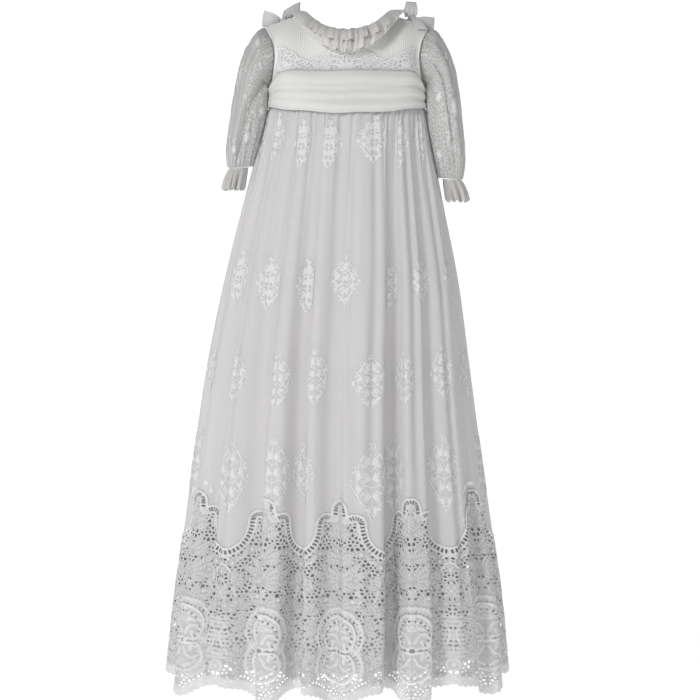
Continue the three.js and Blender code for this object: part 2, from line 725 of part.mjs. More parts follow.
function bowTail(knot, { start, bend, end }) {
  const curve = new THREE.QuadraticBezierCurve3(start, bend, end);
  const path = curve.getPoints(TAIL_STEPS).map((step) => step.add(knot));
  const widthAt = (r) => lerp(TAIL_WIDTH.knot, TAIL_WIDTH.end, r / TAIL_STEPS);
  return ribbon(path, widthAt, new THREE.Vector3(1, 0, 0));
}

// Assembly

const material = (color, roughness) =>
  new THREE.MeshStandardMaterial({ color, roughness, metalness: 0 });
const NET = material(0xdcdcdc, 0.85);
const SATIN = material(0xdedede, 0.5);
const LAWN = material(0xdcdcda, 0.8);
const ORGANZA = material(0xd8d9d3, 0.6);
const LACE = material(0xe6e5e3, 0.85);
const PEARL = material(0xe8e6e0, 0.3);

const gown = new THREE.Group();

function addPiece(name, geometry, surface) {
  const mesh = new THREE.Mesh(geometry, surface);
  mesh.name = name;
  gown.add(mesh);
  return mesh;
}

addPiece("skirt_front", skirtPanel(1), NET);
addPiece("skirt_back", skirtPanel(-1), NET);
addPiece("skirt_lining", lining(), SATIN);
addPiece("bodice_front", bodicePanel(1, -1, 1, TUCKS * 2, TUCK_HEIGHT), LAWN);
const backGap = SEAM / WAIST.half;
addPiece("bodice_back_right", bodicePanel(-1, -1, -backGap, 12), LAWN);
addPiece("bodice_back_left", bodicePanel(-1, backGap, 1, 12), LAWN);
addPiece("yoke_lace", yokeLace(), LACE);
addPiece("sash", sash(), ORGANZA);
addPiece("neck_frill", neckFrill(), LACE);

for (const side of SIDES) {
  addPiece(`sleeve_${side.name}`, sleeve(side), NET);
  addPiece(`cuff_frill_${side.name}`, cuffFrill(side), LACE);
}

for (const { name, knot, loops, tails } of BOWS) {
  const centre = knotCentre(knot);
  const tied = addPiece(`bow_${name}_knot`, new THREE.SphereGeometry(KNOT_RADIUS, 10, 6), SATIN);
  tied.position.copy(centre);
  for (const loop of loops) {
    addPiece(`bow_${name}_loop_${loop.name}`, bowLoop(centre, loop), SATIN);
  }
  for (const tail of tails) {
    addPiece(`bow_${name}_tail_${tail.name}`, bowTail(centre, tail), SATIN);
  }
}

// The back closes with a button strip over the join of the two back panels
function placket() {
  const rows = 5;
  const reach = PLACKET.half / WAIST.half / (Math.PI / 2);
  const grid = gridOf(rows, 3, (r, c) =>
    bodicePoint(-1, lerp(-reach, reach, c / 2), lerp(PLACKET.top, PLACKET.bottom, r / rows)),
  );
  return clothGeometry(movedGrid(grid, SEAM + WALL), movedGrid(grid, SEAM));
}
addPiece("back_placket", placket(), LAWN);

for (let i = 0; i < PLACKET.buttons; i++) {
  const up = lerp(PLACKET.firstButton, PLACKET.lastButton, i / (PLACKET.buttons - 1));
  const seat = bodicePoint(-1, 0, up);
  const below = bodicePoint(-1, 0, up - 0.02);
  const away = new THREE.Vector3(0, seat.z - below.z, below.y - seat.y).normalize();
  const disc = new THREE.CylinderGeometry(
    PLACKET.buttonRadius,
    PLACKET.buttonRadius,
    PLACKET.buttonDepth,
    12,
  );
  const button = addPiece(`button_${i + 1}`, disc, PEARL);
  button.quaternion.setFromUnitVectors(new THREE.Vector3(0, 1, 0), away);
  button.position
    .copy(seat)
    .addScaledVector(away, SEAM * 2 + WALL + PLACKET.buttonDepth / 2 + SEAM / 2);
}

export default gown;
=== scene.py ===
import math

import bpy
import numpy as np
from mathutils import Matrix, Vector


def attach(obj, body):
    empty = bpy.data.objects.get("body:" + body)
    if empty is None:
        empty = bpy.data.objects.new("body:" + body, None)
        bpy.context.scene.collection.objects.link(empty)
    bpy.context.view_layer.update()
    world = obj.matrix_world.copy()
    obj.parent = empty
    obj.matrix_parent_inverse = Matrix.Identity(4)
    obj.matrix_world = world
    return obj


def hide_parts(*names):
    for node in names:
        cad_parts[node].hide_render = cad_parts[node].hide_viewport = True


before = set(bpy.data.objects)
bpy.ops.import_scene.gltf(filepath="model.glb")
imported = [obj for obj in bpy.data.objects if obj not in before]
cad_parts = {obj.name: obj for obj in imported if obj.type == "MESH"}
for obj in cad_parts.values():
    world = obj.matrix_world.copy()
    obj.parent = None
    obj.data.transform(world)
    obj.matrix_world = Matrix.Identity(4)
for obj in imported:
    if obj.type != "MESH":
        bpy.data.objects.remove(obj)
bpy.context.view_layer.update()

# A baby's long christening gown, filled out as if worn, with its front towards -Y.
# Sizes are in millimetres unless a name or comment says otherwise.

MM = 0.001  # metres in a millimetre
SEED = 7

# Driving sizes of the garment, the same as those of its solids
SEAM = 0.4
WALL = 1.5
HEM_Z = -808.0
WAIST = {"front": -108.0, "side": -100.0, "half": 90.0, "depth": 59.0}
NECK = {"half": 46.0, "front": 50.0, "back": 34.0, "front_z": -26.0, "back_z": -9.0, "side_z": 8.0}
SHOULDER = {"half": 98.0, "z": -8.0, "rise": 2.0}
PANEL_EDGE = 90.0  # a panel spans this many degrees each way
SKIRT_DROP = WAIST["front"] - HEM_Z


def table(names, *rows):
    """A table with named columns."""
    columns = zip(*rows)
    return {name: np.array(column, float) for name, column in zip(names.split(), columns)}


# Outline of the skirt at each height: how far it reaches to each side
SKIRT_SECTIONS = table(
    "z left right front back",
    (-98, 90, 90, 58, 56),
    (-110, 97.5, 96.5, 62, 60),
    (-125, 100.8, 99, 66, 64),
    (-160, 109.8, 105, 73, 70),
    (-220, 126, 117, 84, 80),
    (-316, 150, 136, 99, 94),
    (-412, 170, 149, 112, 106),
    (-508, 185, 162, 123, 116),
    (-604, 198, 176, 132, 124),
    (-700, 212, 190, 140, 131),
    (-808, 224, 200, 148, 138),
)

# Main folds of each panel: their places at waist and hem and their half width, in degrees, how
# deep they are at the hem, how steep their sides are and how far they lean to one side
FRONT_FOLDS = table(
    "waist hem width depth steep lean",
    (-80, -76, 8, 14, 0.4, 0.3),
    (-64, -56, 8, 18, 0.6, 0.4),
    (-45, -34, 8.5, 21, 0.8, 0.5),
    (-23, -17, 6.5, 33, 1.3, 0.6),
    (-4, -4, 6.5, 21, 0.8, 0.5),
    (38, 18.5, 6.6, 39, 1.8, 0.1),
    (61, 38, 8, 21, 0.8, -0.3),
    (77, 59, 9, 18, 0.6, 0.4),
    (85, 77, 7, 12, 0.4, -0.2),
)
BACK_FOLDS = table(
    "waist hem width depth steep lean",
    (-81, -78, 7, 13, 0.4, 0.2),
    (-66, -58, 8.5, 19, 0.6, -0.4),
    (-44, -36, 8, 24, 1.0, 0.4),
    (-24, -19, 7, 21, 0.6, -0.3),
    (2, 1, 7.5, 27, 1.2, 0.5),
    (27, 20, 7, 22, 0.7, -0.4),
    (47, 39, 8, 25, 1.0, 0.3),
    (68, 59, 8, 17, 0.5, -0.2),
    (82, 77, 7, 13, 0.4, 0.2),
)
FOLD_GROWTH = 0.75

# Softer creases between the folds: place at the hem and half width in degrees, the shares of the
# drop where each begins and ends, and its depth, below zero for a ridge
FRONT_CREASES = table(
    "hem width begin end depth",
    (-68, 4.0, 0.05, 0.62, 3.4),
    (-47, 3.4, 0.06, 0.90, 3.6),
    (-42, 3.0, 0.30, 1.05, -2.2),
    (-27, 3.2, 0.0, 0.62, 5.0),
    (-11, 2.4, 0.03, 0.85, 3.4),
    (2.5, 3.0, 0.0, 0.55, 4.6),
    (7.5, 2.6, 0.25, 1.05, -2.4),
    (11.0, 2.4, 0.02, 0.70, 3.4),
    (28.0, 3.2, 0.0, 0.75, 4.4),
    (48.0, 3.6, 0.04, 0.92, 3.6),
    (54.0, 3.0, 0.02, 0.45, -2.4),
    (68.0, 3.6, 0.12, 0.84, 3.0),
)
BACK_CREASES = table(
    "hem width begin end depth",
    (-69, 3.8, 0.04, 0.70, 2.2),
    (-48, 3.6, 0.08, 0.94, 2.4),
    (-28, 3.2, 0.03, 0.52, 2.6),
    (-9, 3.4, 0.05, 0.88, 2.4),
    (11, 3.0, 0.02, 0.60, 2.4),
    (30, 3.2, 0.15, 1.05, -1.8),
    (50, 3.8, 0.04, 0.76, 2.6),
    (70, 3.4, 0.10, 0.90, 2.0),
)
GATHERS = 33  # gathers in one panel at the waist
GATHER_DEPTH = 3.6
GATHER_REACH = (30.0, 120.0)  # how far down the shortest and the longest die out

# The deep lace border, in flat cloth: each panel has REPEATS of this width
REPEATS = 5
REPEAT = 140.4
DRAWN_HALF = 58.5  # the width in which half a repeat is drawn, then widened
WIDENED = REPEAT / 2 / DRAWN_HALF
PANEL_WIDTH = REPEATS * REPEAT
LACE_TOP = 458.0  # from the waist down to the crests of the lace
LACE_DEEP = SKIRT_DROP - LACE_TOP

# Mesh sizes, by facing where front and back differ: 1 is the front and -1 the back
LACE_STEP = {1: 1.34, -1: 2.7}
MEDALLION_STEP = {1: 1.1, -1: 1.7}
NET_COLUMNS = {1: 54, -1: 36}  # in one repeat
BODICE_ROWS = 26
# Columns round each tube and rows down it
LINING_MESH = (144, 48)
SASH_MESH = (192, 32)
SLEEVE_MESH = (200, 84)
CUFF_MESH = (360, 26)
KNOT_MESH = (40, 18)
NECK_MESH = (728, 26)

SLEEVE_SECTIONS = table(
    "outer outer_z inner inner_z depth",
    (108, -13, 95.5, -80, 31),
    (119, -28, 98, -84, 33),
    (129, -51, 98.6, -93, 34),
    (136.5, -86, 99.2, -108, 34),
    (142.5, -124, 104, -131, 32),
    (146.5, -154, 110.5, -154, 27),
    (145, -176, 117, -175, 15),
)
# Below HANG_FROM a sleeve hangs closer in by swing, and lower by stretch, as shares of the drop
SIDES = {
    "left": {"sign": -1, "swing": 0.0, "stretch": 1.0},
    "right": {"sign": 1, "swing": 0.05, "stretch": 1.18},
}
HANG_FROM = -98.0
ARMHOLE = table(
    "x y z",
    (90, 0, -100),
    (91, 2, -78),
    (88, 19, -60),
    (87, 24, -41),
    (91, 17, -22),
    (98, 0, -8),
)
CHEST = {"middle": 5.0, "sides": 130.0}
NECK_SHARE = 0.36


# Numbers and curves


def lerp(a, b, share):
    return a + (b - a) * share


def smooth(share):
    share = np.clip(share, 0, 1)
    return share * share * (3 - 2 * share)


def curve(rows, knot, column, at):
    """A cubic curve through one column of a table, read at values of its knot column."""
    knots, values = rows[knot], rows[column]
    if knots[0] > knots[-1]:
        knots, values = knots[::-1], values[::-1]
    slopes = np.empty_like(values)
    slopes[1:-1] = (values[2:] - values[:-2]) / (knots[2:] - knots[:-2])
    slopes[0] = (values[1] - values[0]) / (knots[1] - knots[0])
    slopes[-1] = (values[-1] - values[-2]) / (knots[-1] - knots[-2])
    i = np.clip(np.searchsorted(knots, at, side="right") - 1, 0, len(knots) - 2)
    step = knots[i + 1] - knots[i]
    s = np.clip((at - knots[i]) / step, 0, 1)
    return (
        (2 * s**3 - 3 * s**2 + 1) * values[i]
        + (s**3 - 2 * s**2 + s) * slopes[i] * step
        + (3 * s**2 - 2 * s**3) * values[i + 1]
        + (s**3 - s**2) * slopes[i + 1] * step
    )


def through(points, at):
    """A smooth line through rows of points, read at row numbers that need not be whole."""
    points = np.asarray(points, float)
    last = len(points) - 1
    at = np.clip(np.asarray(at, float), 0, last)
    i = np.clip(at.astype(int), 0, last - 1)
    s = (at - i).reshape(at.shape + (1,) * (points.ndim - 1))
    before, a = points[np.maximum(i - 1, 0)], points[i]
    b, after = points[i + 1], points[np.minimum(i + 2, last)]
    return 0.5 * (
        2 * a
        + (b - before) * s
        + (2 * before - 5 * a + 4 * b - after) * s**2
        + (3 * a - before - 3 * b + after) * s**3
    )


def smooth_line(points, steps=7):
    """A smooth line through a few points, as more points."""
    return through(points, np.linspace(0, len(points) - 1, (len(points) - 1) * steps + 1))


# Cloth surfaces


class Cloth:
    """A surface over flat places, u across and v down in millimetres, with its outward normals.
    Rows of points run down and columns to the right, as seen from outside."""

    def __init__(self, u, v, points, around=False):
        if around:
            points = np.concatenate([points, points[:, :1]], axis=1)
        self.u, self.v, self.points, self.around = u, v, points, around
        down = np.gradient(points, axis=0)
        if around:
            padded = np.concatenate([points[:, -2:-1], points, points[:, 1:2]], axis=1)
            right = padded[:, 2:] - padded[:, :-2]
        else:
            right = np.gradient(points, axis=1)
        normal = np.cross(down, right)
        size = np.linalg.norm(normal, axis=-1, keepdims=True)
        self.normal = normal / np.maximum(size, 1e-9)

    def at(self, u, v, out=0.0):
        """The points at flat places, moved outwards."""
        row = np.interp(v, self.v, np.arange(len(self.v)))
        column = np.interp(u, self.u, np.arange(len(self.u)))
        r = np.clip(row.astype(int), 0, len(self.v) - 2)
        c = np.clip(column.astype(int), 0, len(self.u) - 2)
        down, right = (row - r)[..., None], (column - c)[..., None]

        def mixed(grid):
            top = lerp(grid[r, c], grid[r, c + 1], right)
            return lerp(top, lerp(grid[r + 1, c], grid[r + 1, c + 1], right), down)

        return mixed(self.points) + mixed(self.normal) * np.asarray(out)[..., None]


def waist_height(turn):
    return lerp(WAIST["side"], WAIST["front"], np.cos(np.radians(turn)) ** 2)


def skirt_outline(facing, turn, z, inwards):
    """A point of the skirt's outline, facing 1 at the front and -1 at the back."""
    left = curve(SKIRT_SECTIONS, "z", "left", z)
    right = curve(SKIRT_SECTIONS, "z", "right", z)
    deep = curve(SKIRT_SECTIONS, "z", "front" if facing > 0 else "back", z)
    wide = (left + right) / 2
    sine, cosine = np.sin(np.radians(turn)), np.cos(np.radians(turn))
    across, ahead = sine / wide, cosine / deep
    size = np.hypot(across, ahead)
    x = (right - left) / 2 + facing * (wide * sine - inwards * across / size)
    y = -facing * (deep * cosine - inwards * ahead / size)
    return np.stack(np.broadcast_arrays(x, y, z), axis=-1)


def fold_drift(folds, turn):
    """How far a fold line at a turn of the hem lies away from it at the waist."""
    hem = np.concatenate([[-PANEL_EDGE], folds["hem"], [PANEL_EDGE]])
    drift = np.concatenate([[0], folds["waist"] - folds["hem"], [0]])
    return np.interp(turn, hem, drift)


def fold_depth(folds, turn, drop):
    deepest = np.zeros(np.broadcast(turn, drop).shape)
    names = ("hem", "width", "depth", "steep", "lean")
    for hem, width, depth, steep, lean in zip(*(folds[k] for k in names)):
        off = (turn - hem) / width - lean
        off = np.where(off < 0, off / (1 + lean), off / (1 - lean))
        trough = (1 + np.cos(np.pi * np.minimum(np.abs(off), 1))) / 2
        trough = lerp(trough, smooth(trough), min(steep, 1))
        trough = lerp(trough, smooth(trough), max(steep - 1, 0))
        deepest = np.maximum(deepest, depth * trough)
    return deepest * np.maximum(drop, 0) ** FOLD_GROWTH


def crease_depth(creases, turn, drop):
    depth = np.zeros(np.broadcast(turn, drop).shape)
    names = ("hem", "width", "begin", "end", "depth")
    for hem, width, begin, end, deep in zip(*(creases[k] for k in names)):
        trough = (1 + np.cos(np.pi * np.minimum(np.abs(turn - hem) / width, 1))) / 2
        fading = smooth((drop - begin) / 0.12) * smooth((end - drop) / 0.2)
        depth = depth + deep * trough * fading
    return depth


def gather_depth(u, v):
    """Waist gathers, uneven in width, depth and length."""
    share = u / PANEL_WIDTH
    uneven = 0.9 * np.sin(2 * np.pi * 3.3 * share + 1) + 0.6 * np.sin(2 * np.pi * 7.1 * share)
    phase = 2 * np.pi * GATHERS * share + uneven
    long = 0.5 + 0.5 * np.sin(2 * np.pi * 5.3 * share + 2) * np.cos(2 * np.pi * 11.7 * share)
    reach = lerp(*GATHER_REACH, long)
    strong = lerp(0.55, 1.0, 0.5 + 0.5 * np.sin(2 * np.pi * 8.9 * share + 0.5))
    return GATHER_DEPTH * strong * (0.5 - 0.5 * np.cos(phase)) * np.exp(-v / reach)


def skirt_point(facing, turn, drop, gather=0.0):
    folds = FRONT_FOLDS if facing > 0 else BACK_FOLDS
    creases = FRONT_CREASES if facing > 0 else BACK_CREASES
    placed = turn + fold_drift(folds, turn) * (1 - np.sqrt(np.maximum(drop, 0)))
    z = lerp(waist_height(placed), HEM_Z, drop)
    inwards = fold_depth(folds, turn, drop) + crease_depth(creases, turn, drop) + gather
    return skirt_outline(facing, placed, z, inwards)


def kept_to_side(points, facing, gap=SEAM / 2):
    """A front panel stays in front of the side seams, and a back one behind."""
    points[..., 1] = -facing * np.maximum(-facing * points[..., 1], gap)
    return points


def skirt_cloth(facing):
    """One skirt panel: u from its left seam, and v down from the waist seam."""
    fine = np.linspace(-PANEL_EDGE, PANEL_EDGE, 1601)
    measured = skirt_point(facing, fine, 0.8)
    walked = np.concatenate([[0], np.cumsum(np.linalg.norm(np.diff(measured, axis=0), axis=1))])
    u = np.linspace(0, PANEL_WIDTH, 601)
    v = np.linspace(1, SKIRT_DROP + 4, 281)
    turn = np.interp(u / PANEL_WIDTH * walked[-1], walked, fine)
    across, down = np.meshgrid(u, v)
    gather = gather_depth(across, down) * smooth(across / 12) * smooth((PANEL_WIDTH - across) / 12)
    points = skirt_point(facing, turn[None, :], down / SKIRT_DROP, gather)
    return Cloth(u, v, kept_to_side(points, facing))


def lining_cloth():
    """The lining, one tube that hangs inside the deepest folds in soft waves of its own."""
    hem, waves, wave_depth, clearance, gather_room, deepest = -776.0, 9, 3.5, 2.0, 4.0, 37.0
    columns, rows = LINING_MESH
    turn = np.arange(columns) / columns * 360 - PANEL_EDGE
    drops = np.linspace(0, 1, rows)[:, None]
    halves = []
    for facing, local in ((1, turn[turn < PANEL_EDGE]), (-1, turn[turn >= PANEL_EDGE] - 180)):
        whole = local if facing > 0 else local + 180
        z = lerp(waist_height(local) - SEAM, hem, drops)
        share = np.maximum(0, (WAIST["front"] - z) / SKIRT_DROP)
        clear = lerp(SEAM, clearance, smooth(drops / 0.09))
        room = WALL + clear + gather_room + deepest * share**FOLD_GROWTH
        wave = wave_depth * drops * (1 - np.cos(np.radians(whole * waves)))
        halves.append(skirt_outline(facing, local, z, room + wave))
    points = np.concatenate(halves, axis=1)
    length = WAIST["front"] - hem
    around = np.linspace(0, 880, columns + 1)
    return Cloth(around, np.linspace(0, length, rows), points, around=True)


def neck_edge(facing, turn):
    angle = np.radians(turn)
    low = NECK["front_z"] if facing > 0 else NECK["back_z"]
    deep = NECK["front"] if facing > 0 else NECK["back"]
    z = lerp(low, NECK["side_z"], np.abs(np.sin(angle)) ** 2.2)
    return np.stack([NECK["half"] * np.sin(angle), -facing * deep * np.cos(angle), z], axis=-1)


def armhole_point(up):
    """A point of the armhole edge, by its share from underarm to shoulder."""
    points = np.stack([ARMHOLE["x"], ARMHOLE["y"], ARMHOLE["z"]], axis=-1)
    return through(points, up * (len(points) - 1))


def top_edge(facing, across):
    """The neck and shoulder edge of a panel, by its share from the middle to the armhole."""
    far = np.minimum(np.abs(across), 1)
    at_neck = far < NECK_SHARE
    neck = neck_edge(facing, np.minimum(far / NECK_SHARE, 1) * PANEL_EDGE)
    share = np.clip((far - NECK_SHARE) / (1 - NECK_SHARE), 0, 1)
    rise = SHOULDER["rise"] * np.sin(np.pi * share)
    x = np.where(at_neck, neck[..., 0], lerp(NECK["half"], SHOULDER["half"], share))
    y = np.where(at_neck, neck[..., 1], -facing * SEAM / 2)
    z = np.where(at_neck, neck[..., 2], lerp(NECK["side_z"], SHOULDER["z"], share) + rise)
    return np.stack([np.where(across < 0, -x, x), y, z], axis=-1)


def bodice_point(facing, across, up):
    """A point of the bodice: across from -1 to 1 as seen from that side, up from waist to top."""
    across, up = np.broadcast_arrays(np.asarray(across, float), np.asarray(up, float))
    side = np.where(across < 0, -1.0, 1.0)
    far = np.abs(across)
    turn = far * PANEL_EDGE
    sine, cosine = np.sin(np.radians(turn)), np.cos(np.radians(turn))
    bottom_x, bottom_y = WAIST["half"] * sine, -WAIST["depth"] * cosine * facing
    bottom_z = waist_height(turn)
    spread = 0.3 * np.sqrt(np.clip(1 - up, 0, 1)) * (1 - far**4)
    tops = [top_edge(facing, far + spread * (k - 4) / 4) for k in range(9)]
    weights = np.array([1, 2, 3, 4, 5, 4, 3, 2, 1]) / 25
    top = sum(edge * weight for edge, weight in zip(tops, weights))
    x, y, z = (lerp(low, top[..., k], up) for k, low in enumerate((bottom_x, bottom_y, bottom_z)))
    edge = armhole_point(up)
    pull = far**4
    x = x + (edge[..., 0] - lerp(ARMHOLE["x"][0], ARMHOLE["x"][-1], up)) * pull
    y = y - facing * (edge[..., 1] * pull + SEAM / 2)
    z = z + (edge[..., 2] - lerp(ARMHOLE["z"][0], ARMHOLE["z"][-1], up)) * pull
    rounded = CHEST["middle"] + CHEST["sides"] * far**2 * (1 - far**2) ** 2
    y = y - facing * rounded * np.sin(np.pi * np.clip(up, 0, 1)) ** 0.8
    return np.stack([x * side * facing, y, z], axis=-1)


def bodice_at(facing, across, z):
    """The point of the bodice at a height."""
    across, z = np.broadcast_arrays(np.asarray(across, float), np.asarray(z, float))
    low, high = np.zeros(z.shape), np.ones(z.shape)
    for _ in range(22):
        middle = (low + high) / 2
        below = bodice_point(facing, across, middle)[..., 2] < z
        low, high = np.where(below, middle, low), np.where(below, high, middle)
    return bodice_point(facing, across, low)


def bodice_cloth(facing, start, end, columns, rows):
    across = np.linspace(start, end, columns + 1)
    up = np.linspace(1, 0, rows + 1)
    points = bodice_point(facing, across[None, :], up[:, None])
    girth = WAIST["half"] * math.pi / 2
    return Cloth(across * girth, (1 - up) * 115.0, kept_to_side(points, facing))


# Meshes


def shares_of(cover):
    """Faces of a grid where the cover is above zero, cut along its zero line. Gives the grid
    places used, with row and column as numbers that need not be whole, and the faces."""
    rows, columns = cover.shape
    ids = np.arange(rows * columns).reshape(rows, columns)
    flat = cover.ravel()
    a, b, c, d = (ids[:-1, :-1], ids[1:, :-1], ids[1:, 1:], ids[:-1, 1:])
    quads = np.stack([a, b, c, d], axis=-1).reshape(-1, 4)
    inside = (flat > 0)[quads].sum(axis=1)
    whole = quads[inside == 4]
    part = quads[(inside > 0) & (inside < 4)]
    triangles = np.concatenate([part[:, [0, 1, 2]], part[:, [0, 2, 3]]])
    count = (flat > 0)[triangles].sum(axis=1)

    def turned(group, wanted):
        """Each triangle with its odd corner first."""
        odd = (flat > 0)[group] == wanted
        first = odd.argmax(axis=1)
        order = (first[:, None] + np.arange(3)) % 3
        return np.take_along_axis(group, order, axis=1)

    full = triangles[count == 3]
    two = turned(triangles[count == 2], False)
    one = turned(triangles[count == 1], True)
    cuts = np.concatenate([two[:, [0, 1]], two[:, [0, 2]], one[:, [0, 1]], one[:, [0, 2]]])
    keys, back = np.unique(np.sort(cuts, axis=1), axis=0, return_inverse=True)
    back = back.ravel() + flat.size
    n, m = len(two), len(one)
    faces = [whole, full]
    faces.append(np.stack([back[:n], two[:, 1], two[:, 2], back[n : 2 * n]], axis=-1))
    faces.append(np.stack([one[:, 0], back[2 * n : 2 * n + m], back[2 * n + m :]], axis=-1))
    ga, gb = flat[keys[:, 0]], flat[keys[:, 1]]
    share = np.clip(ga / (ga - gb), 0.02, 0.98) if len(keys) else np.zeros(0)
    row = np.concatenate([ids.ravel() // columns, np.zeros(len(keys))])
    column = np.concatenate([ids.ravel() % columns, np.zeros(len(keys))])
    row[flat.size :] = lerp(keys[:, 0] // columns, keys[:, 1] // columns, share)
    column[flat.size :] = lerp(keys[:, 0] % columns, keys[:, 1] % columns, share)
    return row, column, faces


def read_grid(grid, row, column):
    r = np.clip(row.astype(int), 0, grid.shape[0] - 2)
    c = np.clip(column.astype(int), 0, grid.shape[1] - 2)
    down, right = row - r, column - c
    top = lerp(grid[r, c], grid[r, c + 1], right)
    return lerp(top, lerp(grid[r + 1, c], grid[r + 1, c + 1], right), down)


def make_piece(name, points, faces, flat, surface, relief=None):
    """A mesh piece from points in millimetres, with its flat places as UVs in centimetres."""
    used = np.unique(np.concatenate([f.ravel() for f in faces if f.size]))
    renumber = np.zeros(len(points), int)
    renumber[used] = np.arange(len(used))
    lists = [face for group in faces if group.size for face in renumber[group].tolist()]
    mesh = bpy.data.meshes.new(name)
    mesh.from_pydata((points[used] * MM).tolist(), [], lists)
    mesh.validate()
    corners = np.zeros(len(mesh.loops), np.int32)
    mesh.loops.foreach_get("vertex_index", corners)
    layer = mesh.uv_layers.new(name="flat")
    layer.data.foreach_set("uv", (flat[used][corners] / 10).astype(np.float32).ravel())
    # The relief heights go to the material, which paints lower thread darker as shade
    if relief is not None:
        heights = mesh.attributes.new("relief", "FLOAT", "POINT")
        heights.data.foreach_set("value", relief[used].astype(np.float32))
    mesh.polygons.foreach_set("use_smooth", np.ones(len(mesh.polygons), bool))
    mesh.materials.append(surface)
    mesh.update()
    piece = bpy.data.objects.new(name, mesh)
    bpy.context.scene.collection.objects.link(piece)
    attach(piece, "root")
    return piece


def patch(name, cloth, u, v, surface, cover=None, out=0.0, relief=None):
    """A piece that covers part of a cloth surface. cover is above zero where there is cloth, and
    out is how far it stands out from the surface, at each place of the grid of u and v."""
    shape = (len(v), len(u))
    cover = np.ones(shape) if cover is None else cover
    row, column, faces = shares_of(cover)
    at_u = np.interp(column, np.arange(len(u)), u)
    at_v = np.interp(row, np.arange(len(v)), v)
    height = read_grid(np.broadcast_to(np.asarray(out, float), shape), row, column)
    points = cloth.at(at_u, at_v, height)
    raised = None if relief is None else read_grid(relief, row, column)
    return make_piece(name, points, faces, np.stack([at_u, at_v], -1), surface, raised)


def whole_cloth(name, cloth, surface, out=0.0):
    """A piece that is all of a cloth surface, closed round if it is a tube."""
    rows, columns = cloth.points.shape[:2]
    points = cloth.points + cloth.normal * np.broadcast_to(out, (rows, columns))[..., None]
    ids = np.arange(rows * columns).reshape(rows, columns)
    joined = ids.copy()
    if cloth.around:
        joined[:, -1] = ids[:, 0]
    corners = joined[:-1, :-1], joined[1:, :-1], joined[1:, 1:], joined[:-1, 1:]
    faces = np.stack(corners, axis=-1).reshape(-1, 4)
    u, v = np.meshgrid(cloth.u, cloth.v)
    flat = np.stack([u, v], axis=-1).reshape(-1, 2)
    return make_piece(name, points.reshape(-1, 3), [faces], flat, surface)


def thickened(piece, thickness, offset=-1.0):
    modifier = piece.modifiers.new("thickness", "SOLIDIFY")
    modifier.thickness = thickness * MM
    modifier.offset = offset
    modifier.use_even_offset = False
    return piece


# Needlework patterns


def along(line, x, y):
    """How far each place lies from a line, and how far along the line its nearest point is."""
    far = np.full(x.shape, np.inf)
    place = np.zeros(x.shape)
    walked = 0.0
    for (x0, y0), (x1, y1) in zip(line, line[1:]):
        length = math.hypot(x1 - x0, y1 - y0)
        share = ((x - x0) * (x1 - x0) + (y - y0) * (y1 - y0)) / max(length, 1e-9) ** 2
        share = np.clip(share, 0, 1)
        off = np.hypot(x - lerp(x0, x1, share), y - lerp(y0, y1, share))
        near = off < far
        far = np.where(near, off, far)
        place = np.where(near, walked + share * length, place)
        walked += length
    return far, place


BARB = 4.2  # from one barb of a feathered leaf to the next
LEAF_GROOVE = 0.75  # the low rim round each leaf, where it lies on other work


